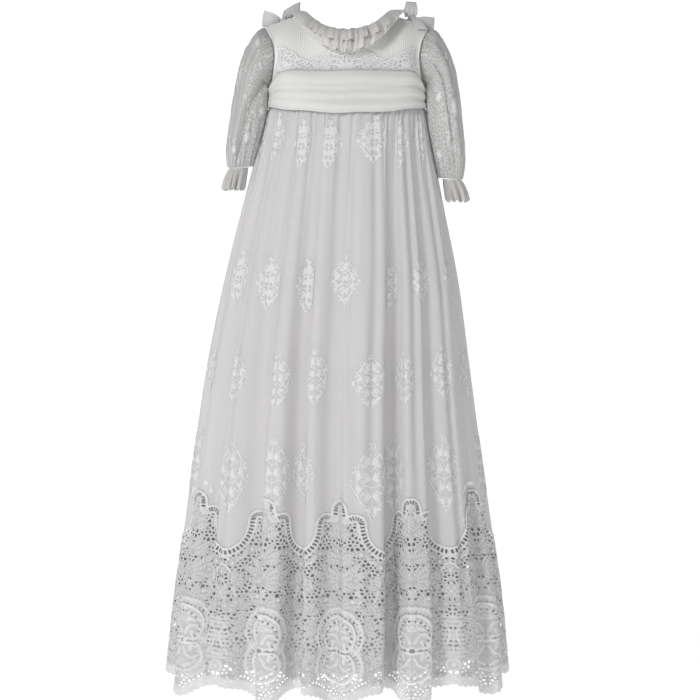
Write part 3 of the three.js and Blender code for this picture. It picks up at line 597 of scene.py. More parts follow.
class Needlework:
    """Cords, leaves and fillings drawn over a grid of flat places."""

    def __init__(self, x, y):
        self.x, self.y = x, y
        self.cover = np.full(x.shape, -50.0)
        self.height = np.zeros(x.shape)

    def add(self, cover, height):
        self.cover = np.maximum(self.cover, cover)
        self.height = np.maximum(self.height, np.where(cover > -0.6, height, 0))

    def cord(self, line, half, height):
        off, _ = along(line, self.x, self.y)
        rounded = np.sqrt(np.clip(1 - (off / half) ** 2, 0, 1))
        self.add(half - off, height * rounded)

    def leaf(self, base, turn, length, half, height=1.1):
        """A leaf with a vein, at a turn in degrees from straight up, towards +x."""
        angle = math.radians(turn)
        ahead = (math.sin(angle), -math.cos(angle))
        dx, dy = self.x - base[0], self.y - base[1]
        share = (dx * ahead[0] + dy * ahead[1]) / length
        off = np.abs(dx * ahead[1] - dy * ahead[0])
        wide = half * np.sin(np.pi * np.clip(share, 0, 1) ** 0.8) ** 0.8
        beyond = np.maximum(0, np.maximum(-share, share - 1)) * length
        cover = np.where(beyond > 0, -beyond - off * 0.5, wide - off)
        rounded = np.sqrt(np.clip(1 - (off / np.maximum(wide, 0.1)) ** 2, 0, 1))
        vein = 1 - 0.6 * np.exp(-((off / 0.7) ** 2))
        barbs = smooth(0.5 + 0.5 * np.cos((share * length - 1.1 * off) * 2 * np.pi / BARB))
        relief = height * (0.4 * rounded + 0.6) * vein * lerp(0.25, 1.0, barbs)
        self.cover = np.maximum(self.cover, cover)
        under = np.where(cover > -LEAF_GROOVE, 0.0, self.height)
        self.height = np.where(cover > 0.15, relief, under)

    def spray(self, base, leaves, height=1.1):
        """Leaves from one point, each given by its turn, length and half width."""
        for turn, length, half in leaves:
            self.leaf(base, turn, length, half, height)

    def fan(self, base, first, last, step, length, half, height):
        """Fine bent cords from one point, between two turns in degrees from straight up."""
        for turn in np.arange(first, last + 0.1, step):
            near, far = math.radians(turn), math.radians(turn - 14)
            reach = length * (1 + 0.12 * math.sin(turn))
            middle = (base[0] + 0.5 * reach * math.sin(near), base[1] - 0.5 * reach * math.cos(near))
            tip = (middle[0] + 0.5 * reach * math.sin(far), middle[1] - 0.5 * reach * math.cos(far))
            self.cord((base, middle, tip), half, height)

    def flower(self, centre, petals, length, half, start=0.0, height=1.2):
        for i in range(petals):
            self.leaf(centre, start + 360 * i / petals, length, half, height)
        self.disc(centre, half * 0.9, height)

    def disc(self, centre, radius, height):
        off = np.hypot(self.x - centre[0], self.y - centre[1])
        self.add(radius - off, height * np.sqrt(np.clip(1 - (off / radius) ** 2, 0, 1)))

    def ring(self, centre, radius, half, height):
        off = np.abs(np.hypot(self.x - centre[0], self.y - centre[1]) - radius)
        self.add(half - off, height * np.sqrt(np.clip(1 - (off / half) ** 2, 0, 1)))

    def emboss(self, lines, half, height):
        """Cords that only raise what is already covered."""
        for line in lines:
            off, _ = along(line, self.x, self.y)
            bump = height * np.sqrt(np.clip(1 - (off / half) ** 2, 0, 1))
            self.height = np.where(self.cover > 0, self.height + bump, self.height)

    def hole(self, centre, radius):
        off = np.hypot(self.x - centre[0], self.y - centre[1])
        self.cover = np.minimum(self.cover, off - radius)


def brides(x, y, spacing, half, edge):
    """Fine bars that join the motifs in uneven meshes, alike on both sides of x = 0 and x = edge."""
    random = np.random.default_rng(SEED)
    low, high = y.min() - spacing, y.max() + spacing
    seeds = []
    for r, sy in enumerate(np.arange(low, high, spacing * 0.86)):
        for sx in np.arange(spacing * (0.25 + 0.5 * (r % 2)), edge, spacing):
            seeds.append((sx + random.uniform(-1.6, 1.6), sy + random.uniform(-1.6, 1.6)))
    seeds = np.array(seeds)
    mirrored = [seeds, seeds * [-1, 1], seeds * [-1, 1] + [2 * edge, 0]]
    seeds = np.concatenate(mirrored)
    first = np.full(x.shape, np.inf)
    second = np.full(x.shape, np.inf)
    for sx, sy in seeds:
        off = np.hypot(x - sx, y - sy)
        second = np.minimum(second, np.maximum(first, off))
        first = np.minimum(first, off)
    return half - (second - first) / 2


# The deep lace border, drawn for half a repeat: x from the middle of a point to the edge of the
# repeat, and y down from the crest

CREST = {"radius": 12.0, "shoulder_x": 20.0, "shoulder_y": 28.0, "end": 32.0, "valley": 62.0}
HEM_NOTCH = 31.0
LADDER = 7.5  # width of the ladder of bars inside the top cord
HEM_BAND = 8.0


def crest_height(x):
    """Top edge of the lace: a crest, a shoulder and a rounded valley."""
    radius, sx, sy = CREST["radius"], CREST["shoulder_x"], CREST["shoulder_y"]
    lobe = radius - np.sqrt(np.clip(radius**2 - x**2, 0, None))
    shoulder = sy - np.sqrt(np.clip(radius**2 - (x - sx) ** 2, 0, None))
    bowl = 1 - ((DRAWN_HALF - x) / (DRAWN_HALF - CREST["end"])) ** 2
    valley = sy + (CREST["valley"] - sy) * np.sqrt(np.clip(bowl, 0, 1))
    return np.where(x < radius, lobe, np.where(x < CREST["end"], shoulder, valley))


def hem_height(x):
    share = x / DRAWN_HALF
    notch = 0.75 * share**1.6 + 0.25 * np.sin(share * np.pi) ** 2
    return LACE_DEEP - HEM_NOTCH * notch


LACE_SPRAYS = (
    ((0.5, 44), ((0, 27, 4.6), (36, 21, 4.0), (68, 20, 3.8))),
    ((1, 74), ((26, 24, 4.0), (54, 27, 4.4), (82, 22, 3.8))),
    ((1, 100), ((22, 27, 4.4), (42, 40, 5.2), (62, 42, 5.4), (84, 32, 4.6), (108, 20, 3.6))),
    ((2, 128), ((36, 22, 3.8), (58, 30, 4.4), (80, 30, 4.6), (102, 22, 3.8))),
    ((45, 104), ((-34, 20, 3.6), (-2, 21, 3.6), (-72, 15, 3.2))),
    ((40, 132), ((-66, 18, 3.6), (-26, 18, 3.4), (14, 15, 3.2), (62, 17, 3.4), (100, 15, 3.2))),
    ((30, 152), ((-50, 14, 3.0), (28, 18, 3.4), (68, 20, 3.6), (108, 17, 3.4))),
    ((38, 188), ((-34, 14, 3.0), (8, 17, 3.2), (62, 16, 3.2), (112, 14, 3.0))),
    ((31, 208), ((0, 13, 2.8), (44, 14, 3.0), (84, 16, 3.0))),
)
LACE_FLOWERS = ((27, 62), (47, 78), (22, 92), (52, 128), (51, 150), (27, 178), (50, 178), (46, 212))
LACE_CORDS = (
    ((58.5, 78), (50, 86), (45, 100), (43, 114), (37, 128), (31, 146), (27, 156)),
    ((2, 108), (12, 104), (22, 106), (27, 113), (24, 119), (18, 117)),
    ((50, 146), (54, 156), (55, 166), (51, 178), (44, 188), (38, 196)),
    ((30, 60), (38, 72), (48, 74), (58.5, 70)),
)
LACE_SCROLLS = (
    ((2.5, 168), (7, 160), (13, 158), (18, 163), (16, 170), (11, 171), (10, 166)),
    ((2.5, 186), (7, 194), (13, 197), (18, 192), (16, 185), (11, 183), (10, 188)),
    ((0, 137), (6, 144), (13, 147), (18, 154)),
    ((3, 153), (8, 151), (12, 153)),
    ((0, 213), (6, 206), (13, 203), (17, 198)),
)


def lace_half(step):
    """The needlework of half a repeat, on its own grid."""
    columns = round(DRAWN_HALF * WIDENED / step)
    xs = np.linspace(0, DRAWN_HALF, columns + 1)
    ys = np.arange(-3, LACE_DEEP + 4, step)
    x, y = np.meshgrid(xs, ys)
    work = Needlework(x, y)
    fine = np.linspace(0, DRAWN_HALF, 90)
    top = np.stack([fine, crest_height(fine)], axis=-1)
    hem = np.stack([fine, hem_height(fine)], axis=-1)
    from_top, on_top = along(top, x, y)
    from_hem, on_hem = along(hem, x, y)
    inside = (y > crest_height(x)) & (y < hem_height(x))
    bars = brides(x, y, 5.0, 0.88, DRAWN_HALF)
    bars = np.minimum(bars, np.minimum(from_top - LADDER, from_hem - 1))
    work.add(np.where(inside, bars, -5), 0.45)
    ladder = 0.95 - np.abs(on_top % 3.9 - 1.95)
    ladder = np.minimum(ladder, LADDER + 0.5 - from_top)
    work.add(np.where(inside, ladder, -5), 0.6)
    work.add(np.where(inside, 0.9 - np.abs(from_top - LADDER), -5), 0.8)
    draw_lace_motifs(work)
    draw_lace_ovals(work)
    hem_leaves = 2.6 - np.hypot((on_hem % 9.0 - 4.5) * 0.62, from_hem - HEM_BAND / 2)
    work.add(np.where(inside, hem_leaves, -5), 1.0)
    work.add(np.where(inside, 0.9 - np.abs(from_hem - HEM_BAND), -5), 0.9)
    tie = np.minimum(0.7 - np.abs(on_hem % 9.0), HEM_BAND - from_hem)
    work.add(np.where(inside, tie, -5), 0.5)
    work.add(1.5 - from_top, 1.3 * np.sqrt(np.clip(1 - (from_top / 1.5) ** 2, 0, 1)))
    work.add(1.7 - from_hem, 1.2 * np.sqrt(np.clip(1 - (from_hem / 1.7) ** 2, 0, 1)))
    picots = np.hypot(on_hem % 6.0 - 3.0, from_hem - 1.6)
    work.add(np.where(inside, -5, 1.5 - picots), 0.9)
    return ys, work


def draw_lace_motifs(work):
    for line in LACE_CORDS:
        work.cord(smooth_line(line), 1.15, 1.0)
    for base, leaves in LACE_SPRAYS:
        work.spray(base, leaves)
    for centre in LACE_FLOWERS:
        work.flower(centre, 6, 5.4, 1.7, start=30)
    work.flower((DRAWN_HALF, 112), 8, 14, 2.4)
    work.flower((DRAWN_HALF, 88), 5, 7, 1.9, start=180)
    rung = np.minimum(0.8 - np.abs(work.y % 5.2 - 2.6), work.x - 47)
    work.add(np.where((work.y > 140) & (work.y < 192), rung, -5), 0.7)
    work.ring((DRAWN_HALF, 199), 6.6, 1.2, 1.1)
    work.disc((DRAWN_HALF, 199), 3.0, 1.2)
    work.disc((18, 117), 2.2, 1.2)


def draw_lace_ovals(work):
    """Two filled shapes, one over the other, in the middle of each repeat."""
    waist, gap = 177.0, 1.4
    x, y = work.x, work.y
    upper = np.minimum((1 - np.hypot(x / 22.5, (y - 158) / 24)) * 22, waist - gap - y)
    lower = np.minimum((1 - np.hypot(x / 22.5, (y - 194) / 21)) * 21, y - waist - gap)
    for oval, middle in ((upper, 158), (lower, 194)):
        round_it = np.arctan2(y - middle, x) * 25
        rays = np.minimum(0.8 - np.abs(round_it % 4.4 - 2.2), oval + 7)
        work.add(np.where(oval < 0, rays, -5), 0.6)
        work.add(0.9 - np.abs(oval + 6.5), 0.9)
    keep = np.maximum(upper, lower)
    near = keep > -0.8
    work.cover = np.where(near, keep, work.cover)
    rays = 0.5 + 0.5 * np.cos(np.arctan2(y - np.where(y < waist, 158, 194), x) * 22)
    work.height = np.where(near, 0.25 + 0.35 * rays, work.height)
    for angle in np.radians(np.arange(-80, 81, 20)):
        for middle in (160, 192):
            work.hole((17.5 * np.cos(angle), middle + 17.5 * np.sin(angle)), 1.35)
    work.add(1.0 - np.abs(keep - 1.0), 1.3)
    work.ring((0, waist), 4.0, 1.1, 1.3)
    work.hole((0, waist), 2.6)
    work.emboss([smooth_line(line) for line in LACE_SCROLLS], 1.5, 0.9)
    star = Needlework(x, y)
    star.flower((0, 149), 8, 9, 1.6, height=0.9)
    star.flower((0, 203), 8, 7, 1.5, height=0.9)
    work.height = work.height + np.where(star.cover > 0, star.height, 0)


def tiled(half, count):
    """A grid of half a repeat, mirrored and laid side by side."""
    whole = np.concatenate([half[:, :0:-1], half], axis=1)
    return np.concatenate([whole] + [whole[:, 1:]] * (count - 1), axis=1)


def lace_piece(panel, facing, cloth, surface):
    """The lace border of one panel."""
    ys, work = lace_half(LACE_STEP[facing])
    cover, height = tiled(work.cover, REPEATS), tiled(work.height, REPEATS)
    u = np.linspace(0, PANEL_WIDTH, cover.shape[1])
    name = f"{panel}_lace"
    return patch(name, cloth, u, ys + LACE_TOP, surface, cover, 0.2 + height, height)


# Embroidered medallions on the net, drawn for the right half: x from the middle, y down

MEDALLIONS = 8  # across one panel
MEDALLION = {"half": 28.0, "tall": 32.0}
MEDALLION_CORDS = (
    ((1.2, -28), (1.2, -8), (1.2, 22)),
    ((2, -31), (7, -24), (13, -19), (20, -12), (26, -3), (25, 4), (19, 11), (12, 18), (6, 24), (1, 31)),
    ((2, 21), (8, 23), (14, 19), (15, 12), (10, 9), (7, 13), (10, 16)),
    ((2, 5), (9, 3), (17, 6), (21, 1), (18, -5), (13, -3)),
    ((2, -9), (7, -13), (12, -12), (14, -18), (10, -22), (7, -17)),
)
# Where each fan of cords starts, its first and last turn, the step between them and its length
MEDALLION_FANS = (
    ((1.5, -14), 12, 96, 12, 10),
    ((1.5, -2), 30, 120, 11, 14),
    ((1.5, 12), 40, 140, 12, 12),
    ((14, -6), 20, 150, 16, 9),
    ((14, 6), 40, 160, 16, 8),
    ((1.5, 24), 40, 150, 18, 7),
)
MEDALLION_LOOPS = ((3, -29), (14, -21), (23, -10), (26, 1), (20, 13), (11, 21), (0, 30))

EIGHT_PLACES = tuple(k + 0.5 for k in range(8))
SEVEN_PLACES = tuple(float(k) for k in range(1, 8))

# Rows of medallions: how far each lies below the waist seam, its size, the weight of its threads
# and the places along it, in spacings
MEDALLION_ROWS = (
    {"v": 40, "wide": 1.0, "tall": 0.9, "thread": 1.0, "places": EIGHT_PLACES},
    {"v": 206, "wide": 0.92, "tall": 0.98, "thread": 0.9, "places": SEVEN_PLACES},
    {"v": 318, "wide": 0.86, "tall": 1.02, "thread": 0.85, "places": EIGHT_PLACES},
    {"v": 432, "wide": 1.0, "tall": 1.42, "thread": 0.8,
     "places": (0.25, 1.6, 2.5, 3.2, 4.52, 5.2, 6.4, 7.75)},
)


def medallion_work(row, step):
    """The needlework of one medallion, over its own flat places."""
    half, tall = MEDALLION["half"] * row["wide"], MEDALLION["tall"] * row["tall"]
    xs = np.arange(-half - 2, half + 2, step[0])
    ys = np.arange(-tall - 2, tall + 2, step[1])
    x, y = np.meshgrid(xs / row["wide"], ys / row["tall"])
    work = Needlework(np.abs(x), y)
    for line in MEDALLION_CORDS:
        work.cord(smooth_line(line), 0.7 * row["thread"], 0.6)
    for base, first, last, turn, length in MEDALLION_FANS:
        work.fan(base, first, last, turn, length, 0.55 * row["thread"], 0.45)
    for centre in MEDALLION_LOOPS:
        work.ring(centre, 2.6, 0.6 * row["thread"], 0.6)
    return xs, ys, work


def medallion_pieces(panel, facing, cloth, surface):
    """All the medallions of one panel, joined row by row."""
    pieces = []
    spacing = PANEL_WIDTH / MEDALLIONS
    for number, row in enumerate(MEDALLION_ROWS, start=1):
        pair = cloth.at(np.array([350.0, 352.0]), np.array([row["v"]] * 2))
        narrow = np.linalg.norm(pair[1] - pair[0]) / 2
        step = MEDALLION_STEP[facing]
        xs, ys, work = medallion_work(row, (step * 0.95 / max(narrow, 0.5), step))
        points, faces, flat, relief, count = [], [], [], [], 0
        at_row, at_column, shapes = shares_of(work.cover)
        x = np.interp(at_column, np.arange(len(xs)), xs)
        y = np.interp(at_row, np.arange(len(ys)), ys)
        height = read_grid(work.height, at_row, at_column)
        for place in row["places"]:
            u, v = x + place * spacing, y + row["v"] + 4 * math.sin(place * 2.3 + number)
            points.append(cloth.at(u, v, 0.2 + height))
            flat.append(np.stack([u, v], axis=-1))
            faces += [group + count for group in shapes]
            relief.append(height)
            count += len(x)
        pieces.append(
            make_piece(f"{panel}_embroidery_{number}", np.concatenate(points), faces,
                       np.concatenate(flat), surface, np.concatenate(relief))
        )
    return pieces


def net_piece(panel, facing, cloth, surface):
    """The plain net of one panel, down to the lace."""
    columns = REPEATS * NET_COLUMNS[facing]
    u = np.linspace(0, PANEL_WIDTH, columns + 1)
    v = np.concatenate([np.linspace(1, 120, 30), np.linspace(120, 524, 68)[1:]])
    across, down = np.meshgrid(u, v)
    x = DRAWN_HALF - np.abs((across / WIDENED) % (2 * DRAWN_HALF) - DRAWN_HALF)
    x = DRAWN_HALF - x
    return patch(panel + "_net", cloth, u, v, surface, LACE_TOP + crest_height(x) + 1 - down)


def skirt_panel(panel, facing, looks):
    cloth = skirt_cloth(facing)
    net = net_piece(panel, facing, cloth, looks["net"])
    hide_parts(panel)
    lace = lace_piece(panel, facing, cloth, looks["guipure"])
    medallions = medallion_pieces(panel, facing, cloth, looks["embroidery"])
    return net


# Bodice

TUCK = {"pitch": 2.5, "height": 0.28, "half": 0.5}


def tucks(points):
    """Fine pintucks that run straight down the cloth."""
    x, z = points[..., 0], points[..., 2]
    off = np.abs((x + 0.25 * np.sin(z / 19)) % TUCK["pitch"] - TUCK["pitch"] / 2)
    uneven = 1 + 0.25 * np.sin(x * 1.7) * np.sin(z / 13)
    return TUCK["height"] * uneven * np.exp(-((off / TUCK["half"]) ** 2))


def bodice_panel(name, node, facing, start, end, columns, surface):
    cloth = bodice_cloth(facing, start, end, columns, BODICE_ROWS)
    x, z = cloth.points[..., 0], cloth.points[..., 2]
    slack = 0.5 * np.sin(x / 9.0 + z / 31) * smooth((z + 62) / 20) * smooth((5 - z) / 12)
    piece = whole_cloth(name, cloth, surface, tucks(cloth.points) + slack)
    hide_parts(node)
    return piece


# Corded top edge of the yoke lace: half its course over the front
YOKE_EDGE = table("x z", (0, -40), (18, -41.5), (32, -47), (48, -54), (62, -46), (76, -38.5), (94, -33))
YOKE_SCALLOP = {"width": 11.6, "rise": 3.4}
YOKE_LOW = -68.0
YOKE_SPRAYS = (
    ((0, 66), ((0, 19, 3.0), (24, 20, 3.0), (48, 19, 2.8), (72, 15, 2.4))),
    ((26, 68), ((-34, 13, 2.2), (-2, 17, 2.6), (28, 14, 2.3), (62, 13, 2.2))),
    ((48, 70), ((-42, 11, 2.0), (0, 12, 2.2), (42, 12, 2.0))),
    ((68, 68), ((-36, 15, 2.4), (-8, 21, 2.8), (20, 22, 3.0), (48, 18, 2.6))),
    ((86, 66), ((-40, 15, 2.4), (-12, 24, 2.8), (14, 20, 2.6))),
)
YOKE_CORDS = (
    ((0, 66), (6, 58), (14, 54), (22, 58), (26, 66)),
    ((26, 66), (32, 60), (40, 62), (48, 68)),
    ((50, 68), (56, 58), (66, 54), (74, 60)),
    ((6, 52), (12, 48), (18, 50), (18, 55), (13, 55)),
    ((60, 54), (64, 48), (70, 47), (73, 51), (69, 54)),
)


def yoke_edge(x):
    far = np.abs(x)
    share = (far % YOKE_SCALLOP["width"]) / YOKE_SCALLOP["width"] * 2 - 1
    arch = YOKE_SCALLOP["rise"] * np.sqrt(np.clip(1 - share**2, 0, 1))
    return curve(YOKE_EDGE, "x", "z", far) + arch


def yoke_lace(surface):
    """Scalloped lace laid over the lower yoke."""
    across = np.linspace(-0.82, 0.82, 401)
    z = np.linspace(-24, YOKE_LOW - 2, 81)
    points = bodice_at(1, across[None, :], z[:, None])
    cloth = Cloth(points[40, :, 0], -z, points)
    reach = 86.0
    u = np.linspace(-reach, reach, 345)
    v = np.linspace(26, -YOKE_LOW, 85)
    x, y = np.meshgrid(u, v)
    work = Needlework(np.abs(x), y)
    fine = np.linspace(0, reach, 240)
    from_edge, on_edge = along(np.stack([fine, -yoke_edge(fine)], axis=-1), work.x, y)
    inside = y > -yoke_edge(work.x)
    work.add(np.where(inside, brides(work.x, y, 5.0, 0.62, reach), -5), 0.25)
    for base, leaves in YOKE_SPRAYS:
        work.spray(base, leaves, height=0.7)
    for line in YOKE_CORDS:
        work.cord(smooth_line(line), 0.8, 0.8)
    work.flower((38, 56), 6, 5.0, 1.4, height=0.7)
    work.flower((14, 62), 6, 4.4, 1.3, height=0.7)
    work.cover = np.where(inside, work.cover, -5)
    rung = np.minimum(0.5 - np.abs(on_edge % 2.6 - 1.3), 3.4 - from_edge)
    work.add(np.where(inside, rung, -5), 0.5)
    work.add(np.where(inside, 0.55 - np.abs(from_edge - 3.2), -5), 0.6)
    work.add(0.85 - from_edge, 1.0 * np.sqrt(np.clip(1 - (from_edge / 0.85) ** 2, 0, 1)))
    picots = np.hypot(on_edge % 3.2 - 1.6, from_edge - 1.0)
    work.add(np.where(inside, -5, 0.75 - picots), 0.6)
    out = SEAM + 0.65 + work.height
    piece = patch("yoke_lace_work", cloth, u, v, surface, work.cover, out, work.height)
    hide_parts("yoke_lace")
    return piece


# The sash: share of its width from the top, room under it and how far it stands out there
SASH = {"top": -62.0, "side_top": -85.0, "side_start": 20, "overlap": 4.0, "wall": 1.8}
SASH_PROFILE = table(
    "down clear out",
    (0, 1.5, 0),
    (0.2, 1.3, 1.6),
    (0.36, 1.3, 0.9),
    (0.55, 1.4, 1.6),
    (0.74, 2.2, 0.9),
    (1, 4, 0.4),
)
# Soft folds across its front: place at the left and the right, width and height at each
SASH_FOLDS = table(
    "left right width from_left from_right",
    (0.10, 0.14, 0.10, 0.5, 0.3),
    (0.30, 0.28, 0.06, -0.2, -0.4),
    (0.40, 0.45, 0.05, 0.3, 0.8),
    (0.50, 0.37, 0.06, -0.9, -0.7),
    (0.62, 0.58, 0.06, 0.3, 0.5),
    (0.66, 0.70, 0.07, -0.2, -1.0),
    (0.78, 0.86, 0.08, 0.8, 0.6),
    (0.92, 0.95, 0.05, -0.5, -0.3),
)


def sash_folds(down, share):
    """Uneven folds along the sash, by the share of its way across."""
    depth = np.zeros(np.broadcast(down, share).shape)
    names = ("left", "right", "width", "from_left", "from_right")
    for left, right, width, from_left, from_right in zip(*(SASH_FOLDS[k] for k in names)):
        bend = 0.02 * np.sin(share * 7 + left * 20)
        off = (down - lerp(left, right, share) - bend) / width
        depth = depth + lerp(from_left, from_right, smooth(share)) * np.exp(-(off**2))
    return depth


def sash(surface):
    columns, rows = SASH_MESH
    turn = np.arange(columns) / columns * 360 - PANEL_EDGE
    down = np.linspace(0, 1, rows)[:, None]
    halves = []
    for facing, local in ((1, turn[turn < PANEL_EDGE]), (-1, turn[turn >= PANEL_EDGE] - 180)):
        side = np.abs(np.sin(np.radians(local))) ** SASH["side_start"]
        top = lerp(SASH["top"], SASH["side_top"], side) + 0.5 * np.sin(local / 9)
        z = lerp(top, waist_height(local) - SASH["overlap"] + 0.6 * np.sin(local / 6.3), down)
        body = bodice_at(facing, local / PANEL_EDGE, z)
        away = body[..., :2] / [WAIST["half"] ** 2, WAIST["depth"] ** 2]
        away = away / np.linalg.norm(away, axis=-1, keepdims=True)
        lace_room = 2.0 * (smooth((PANEL_EDGE - np.abs(local)) / 15) if facing > 0 else side)
        clear = curve(SASH_PROFILE, "down", "clear", down)
        out = curve(SASH_PROFILE, "down", "out", down)
        folds = sash_folds(down, local / (2 * PANEL_EDGE) + 0.5)
        body[..., :2] += away * (clear + lace_room + SASH["wall"] + out + folds)[..., None]
        body[..., 2] = z
        halves.append(body)
    cloth = Cloth(np.linspace(0, 500, columns + 1), np.linspace(0, 48, rows),
                  np.concatenate(halves, axis=1), around=True)
    piece = whole_cloth("sash_cloth", cloth, surface)
    thickened(piece, 0.5)
    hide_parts("sash")
    return piece


# Neck frill in two tiers: how far out and up each row of its profile lies and its wave depth
NECK_TIERS = {
    "under": table(
        "out up wave",
        (0.8, 0.8, 0),
        (4.5, 8.5, 0.8),
        (10.5, 7.5, 1.5),
        (15.5, 1, 2.3),
        (17.5, -6, 2.9),
        (15.5, -14.5, 3.3),
    ),
    "upper": table(
        "out up wave",
        (0.2, 1.5, 0),
        (3.5, 10.5, 0.9),
        (9.5, 11.5, 1.8),
        (15.5, 6, 2.4),
        (18.5, -2, 2.8),
    ),
}
NECK_RISE = {"front": 1.0, "side": 0.15, "back": 0.15}  # share of its rise kept there
NECK_WAVES = 24
NECK_ROUND = 286.0  # length of the neck edge


def neck_tier(tier, columns, rows, phase):
    turn = np.arange(columns) / columns * 360 - PANEL_EDGE
    shape = NECK_TIERS[tier]
    profile = np.stack([shape["out"], shape["up"], shape["wave"]], axis=-1)
    out, up, wave = np.moveaxis(through(profile, np.linspace(0, len(profile) - 1, rows)), -1, 0)
    facing = np.where(turn < PANEL_EDGE, 1, -1)
    local = np.where(facing > 0, turn, turn - 180)
    edge = np.where((facing > 0)[:, None], neck_edge(1, local), neck_edge(-1, local))
    edge[:, 0] *= facing
    angle = np.radians(turn)
    front = np.clip(np.cos(angle), 0, 1)
    uneven = 1.1 * np.sin(3 * angle + phase) + 0.8 * np.sin(7 * angle + 2 * phase)
    ripple = np.sin(NECK_WAVES * angle + uneven)
    ripple = ripple + 0.4 * np.sin(2.6 * NECK_WAVES * angle + 2 * uneven + phase)
    ripple = ripple + 0.4 * np.sin(1.6 * NECK_WAVES * angle - 3 * uneven)
    strong = 0.75 + 0.35 * np.sin(5 * angle + 3 * phase)
    ripple = wave[:, None] * (ripple * strong)[None, :]
    back = np.clip(-np.cos(angle), 0, 1)
    rise = lerp(lerp(NECK_RISE["side"], NECK_RISE["front"], front), NECK_RISE["back"], back)
    seat = up[0]
    falling = up[:, None] * lerp(-0.1, 1.0, front)[None, :]
    lift = np.where(up[:, None] < 0, falling, seat + (up[:, None] - seat) * rise[None, :])
    reach = out[:, None] + ripple
    x = edge[:, 0] + np.sin(angle) * (reach + 1)
    y = edge[:, 1] - np.cos(angle) * reach
    z = edge[:, 2] + lift + ripple * lerp(0.9, 0.5, front)
    points = np.stack([x, y, z], axis=-1)
    walked = np.concatenate([[0], np.cumsum(np.hypot(np.diff(out), np.diff(up)))])
    u = np.linspace(0, NECK_ROUND, columns + 1)
    return Cloth(u, walked, points, around=True)


def frill_edge(cloth, rows, pitch, deep, start=0.0):
    """Cover of a frill with a picot edge, over its whole grid."""
    u, v = np.meshgrid(cloth.u, np.linspace(start, cloth.v[-1], rows))
    return v[:, 0], cloth.v[-1] - deep + deep * np.abs(np.sin(np.pi * u / pitch)) - v


def neck_frill(surface):
    tiers = []
    for tier, phase in (("under", 0.4), ("upper", 1.9)):
        cloth = neck_tier(tier, *NECK_MESH, phase)
        v, cover = frill_edge(cloth, 28, NECK_ROUND / 104, 1.5)
        hem = np.clip(1 - np.abs(cover - 2.6) / 0.7, 0, 1) * 0.35
        piece = patch(f"neck_frill_{tier}", cloth, cloth.u, v, surface, cover, hem, hem)
        tiers.append(piece)
    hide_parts("neck_frill")
    return tiers


# Sleeves: v runs down each from its armhole seam, and u round it in shares of a turn

SLEEVE_GATHERS = 26
SLEEVE_ROUND = 216.0
SLEEVE_LONG = 178.0
SLEEVE_FOLDS = {
    # turn at the top and at the wrist, half width in degrees, first and last share, depth
    "left": table(
        "top low width begin end depth",
        (-50, -44, 14, 0.30, 0.95, 1.8),
        (-30, -28, 12, 0.05, 0.60, 1.6),
        (60, 50, 12, 0.45, 1.0, 1.6),
        (18, 30, 9, 0.62, 1.02, 1.6),
    ),
    "right": table(
        "top low width begin end depth",
        (-52, -34, 16, 0.12, 0.70, 2.4),
        (46, 40, 14, 0.10, 0.66, 1.8),
        (-18, -12, 9, 0.62, 1.02, 1.6),
    ),
}
# The long drape down each sleeve: its turn at each share, its depth and its width on either side
SLEEVE_DRAPES = {
    "left": {"depth": 8.0, "before": 34, "after": 8, "path": table(
        "share turn", (0.15, 62), (0.40, 44), (0.50, 28), (0.66, 4), (0.85, -2), (1.0, -16))},
    "right": {"depth": 3.6, "before": 9, "after": 26, "path": table(
        "share turn", (0.1, -6), (0.45, 4), (0.75, 10), (1.0, 6))},
}
# How far each sleeve bulges towards the skirt, and where round it and how wide, in degrees
SLEEVE_BULGE = {"deep": 4.5, "turn": -62.0, "width": 30.0}


def sleeve_ring(section, side, angle, size):
    """One ring of a sleeve, from the front towards the outer edge."""
    outer, outer_z, inner, inner_z, depth = section
    sign, swing, stretch = (SIDES[side][k] for k in ("sign", "swing", "stretch"))
    share = (1 + np.sin(angle) * size) / 2
    x = lerp(inner, outer, share) - swing * max(0.0, HANG_FROM - inner_z)
    height = lerp(inner_z, outer_z, share)
    z = height - (stretch - 1) * np.maximum(0, HANG_FROM - height)
    return np.stack([sign * x, -depth * np.cos(angle) * size, z], axis=-1)


def armhole_ring(sign, angle):
    edge = armhole_point(lerp(0.2, 1.0, (1 + np.sin(angle)) / 2))
    cosine = np.cos(angle)
    half = (edge[:, 1] + SEAM) * np.sqrt(np.abs(cosine))
    return np.stack([sign * (edge[:, 0] + SEAM), -half * np.sign(cosine), edge[:, 2]], axis=-1)


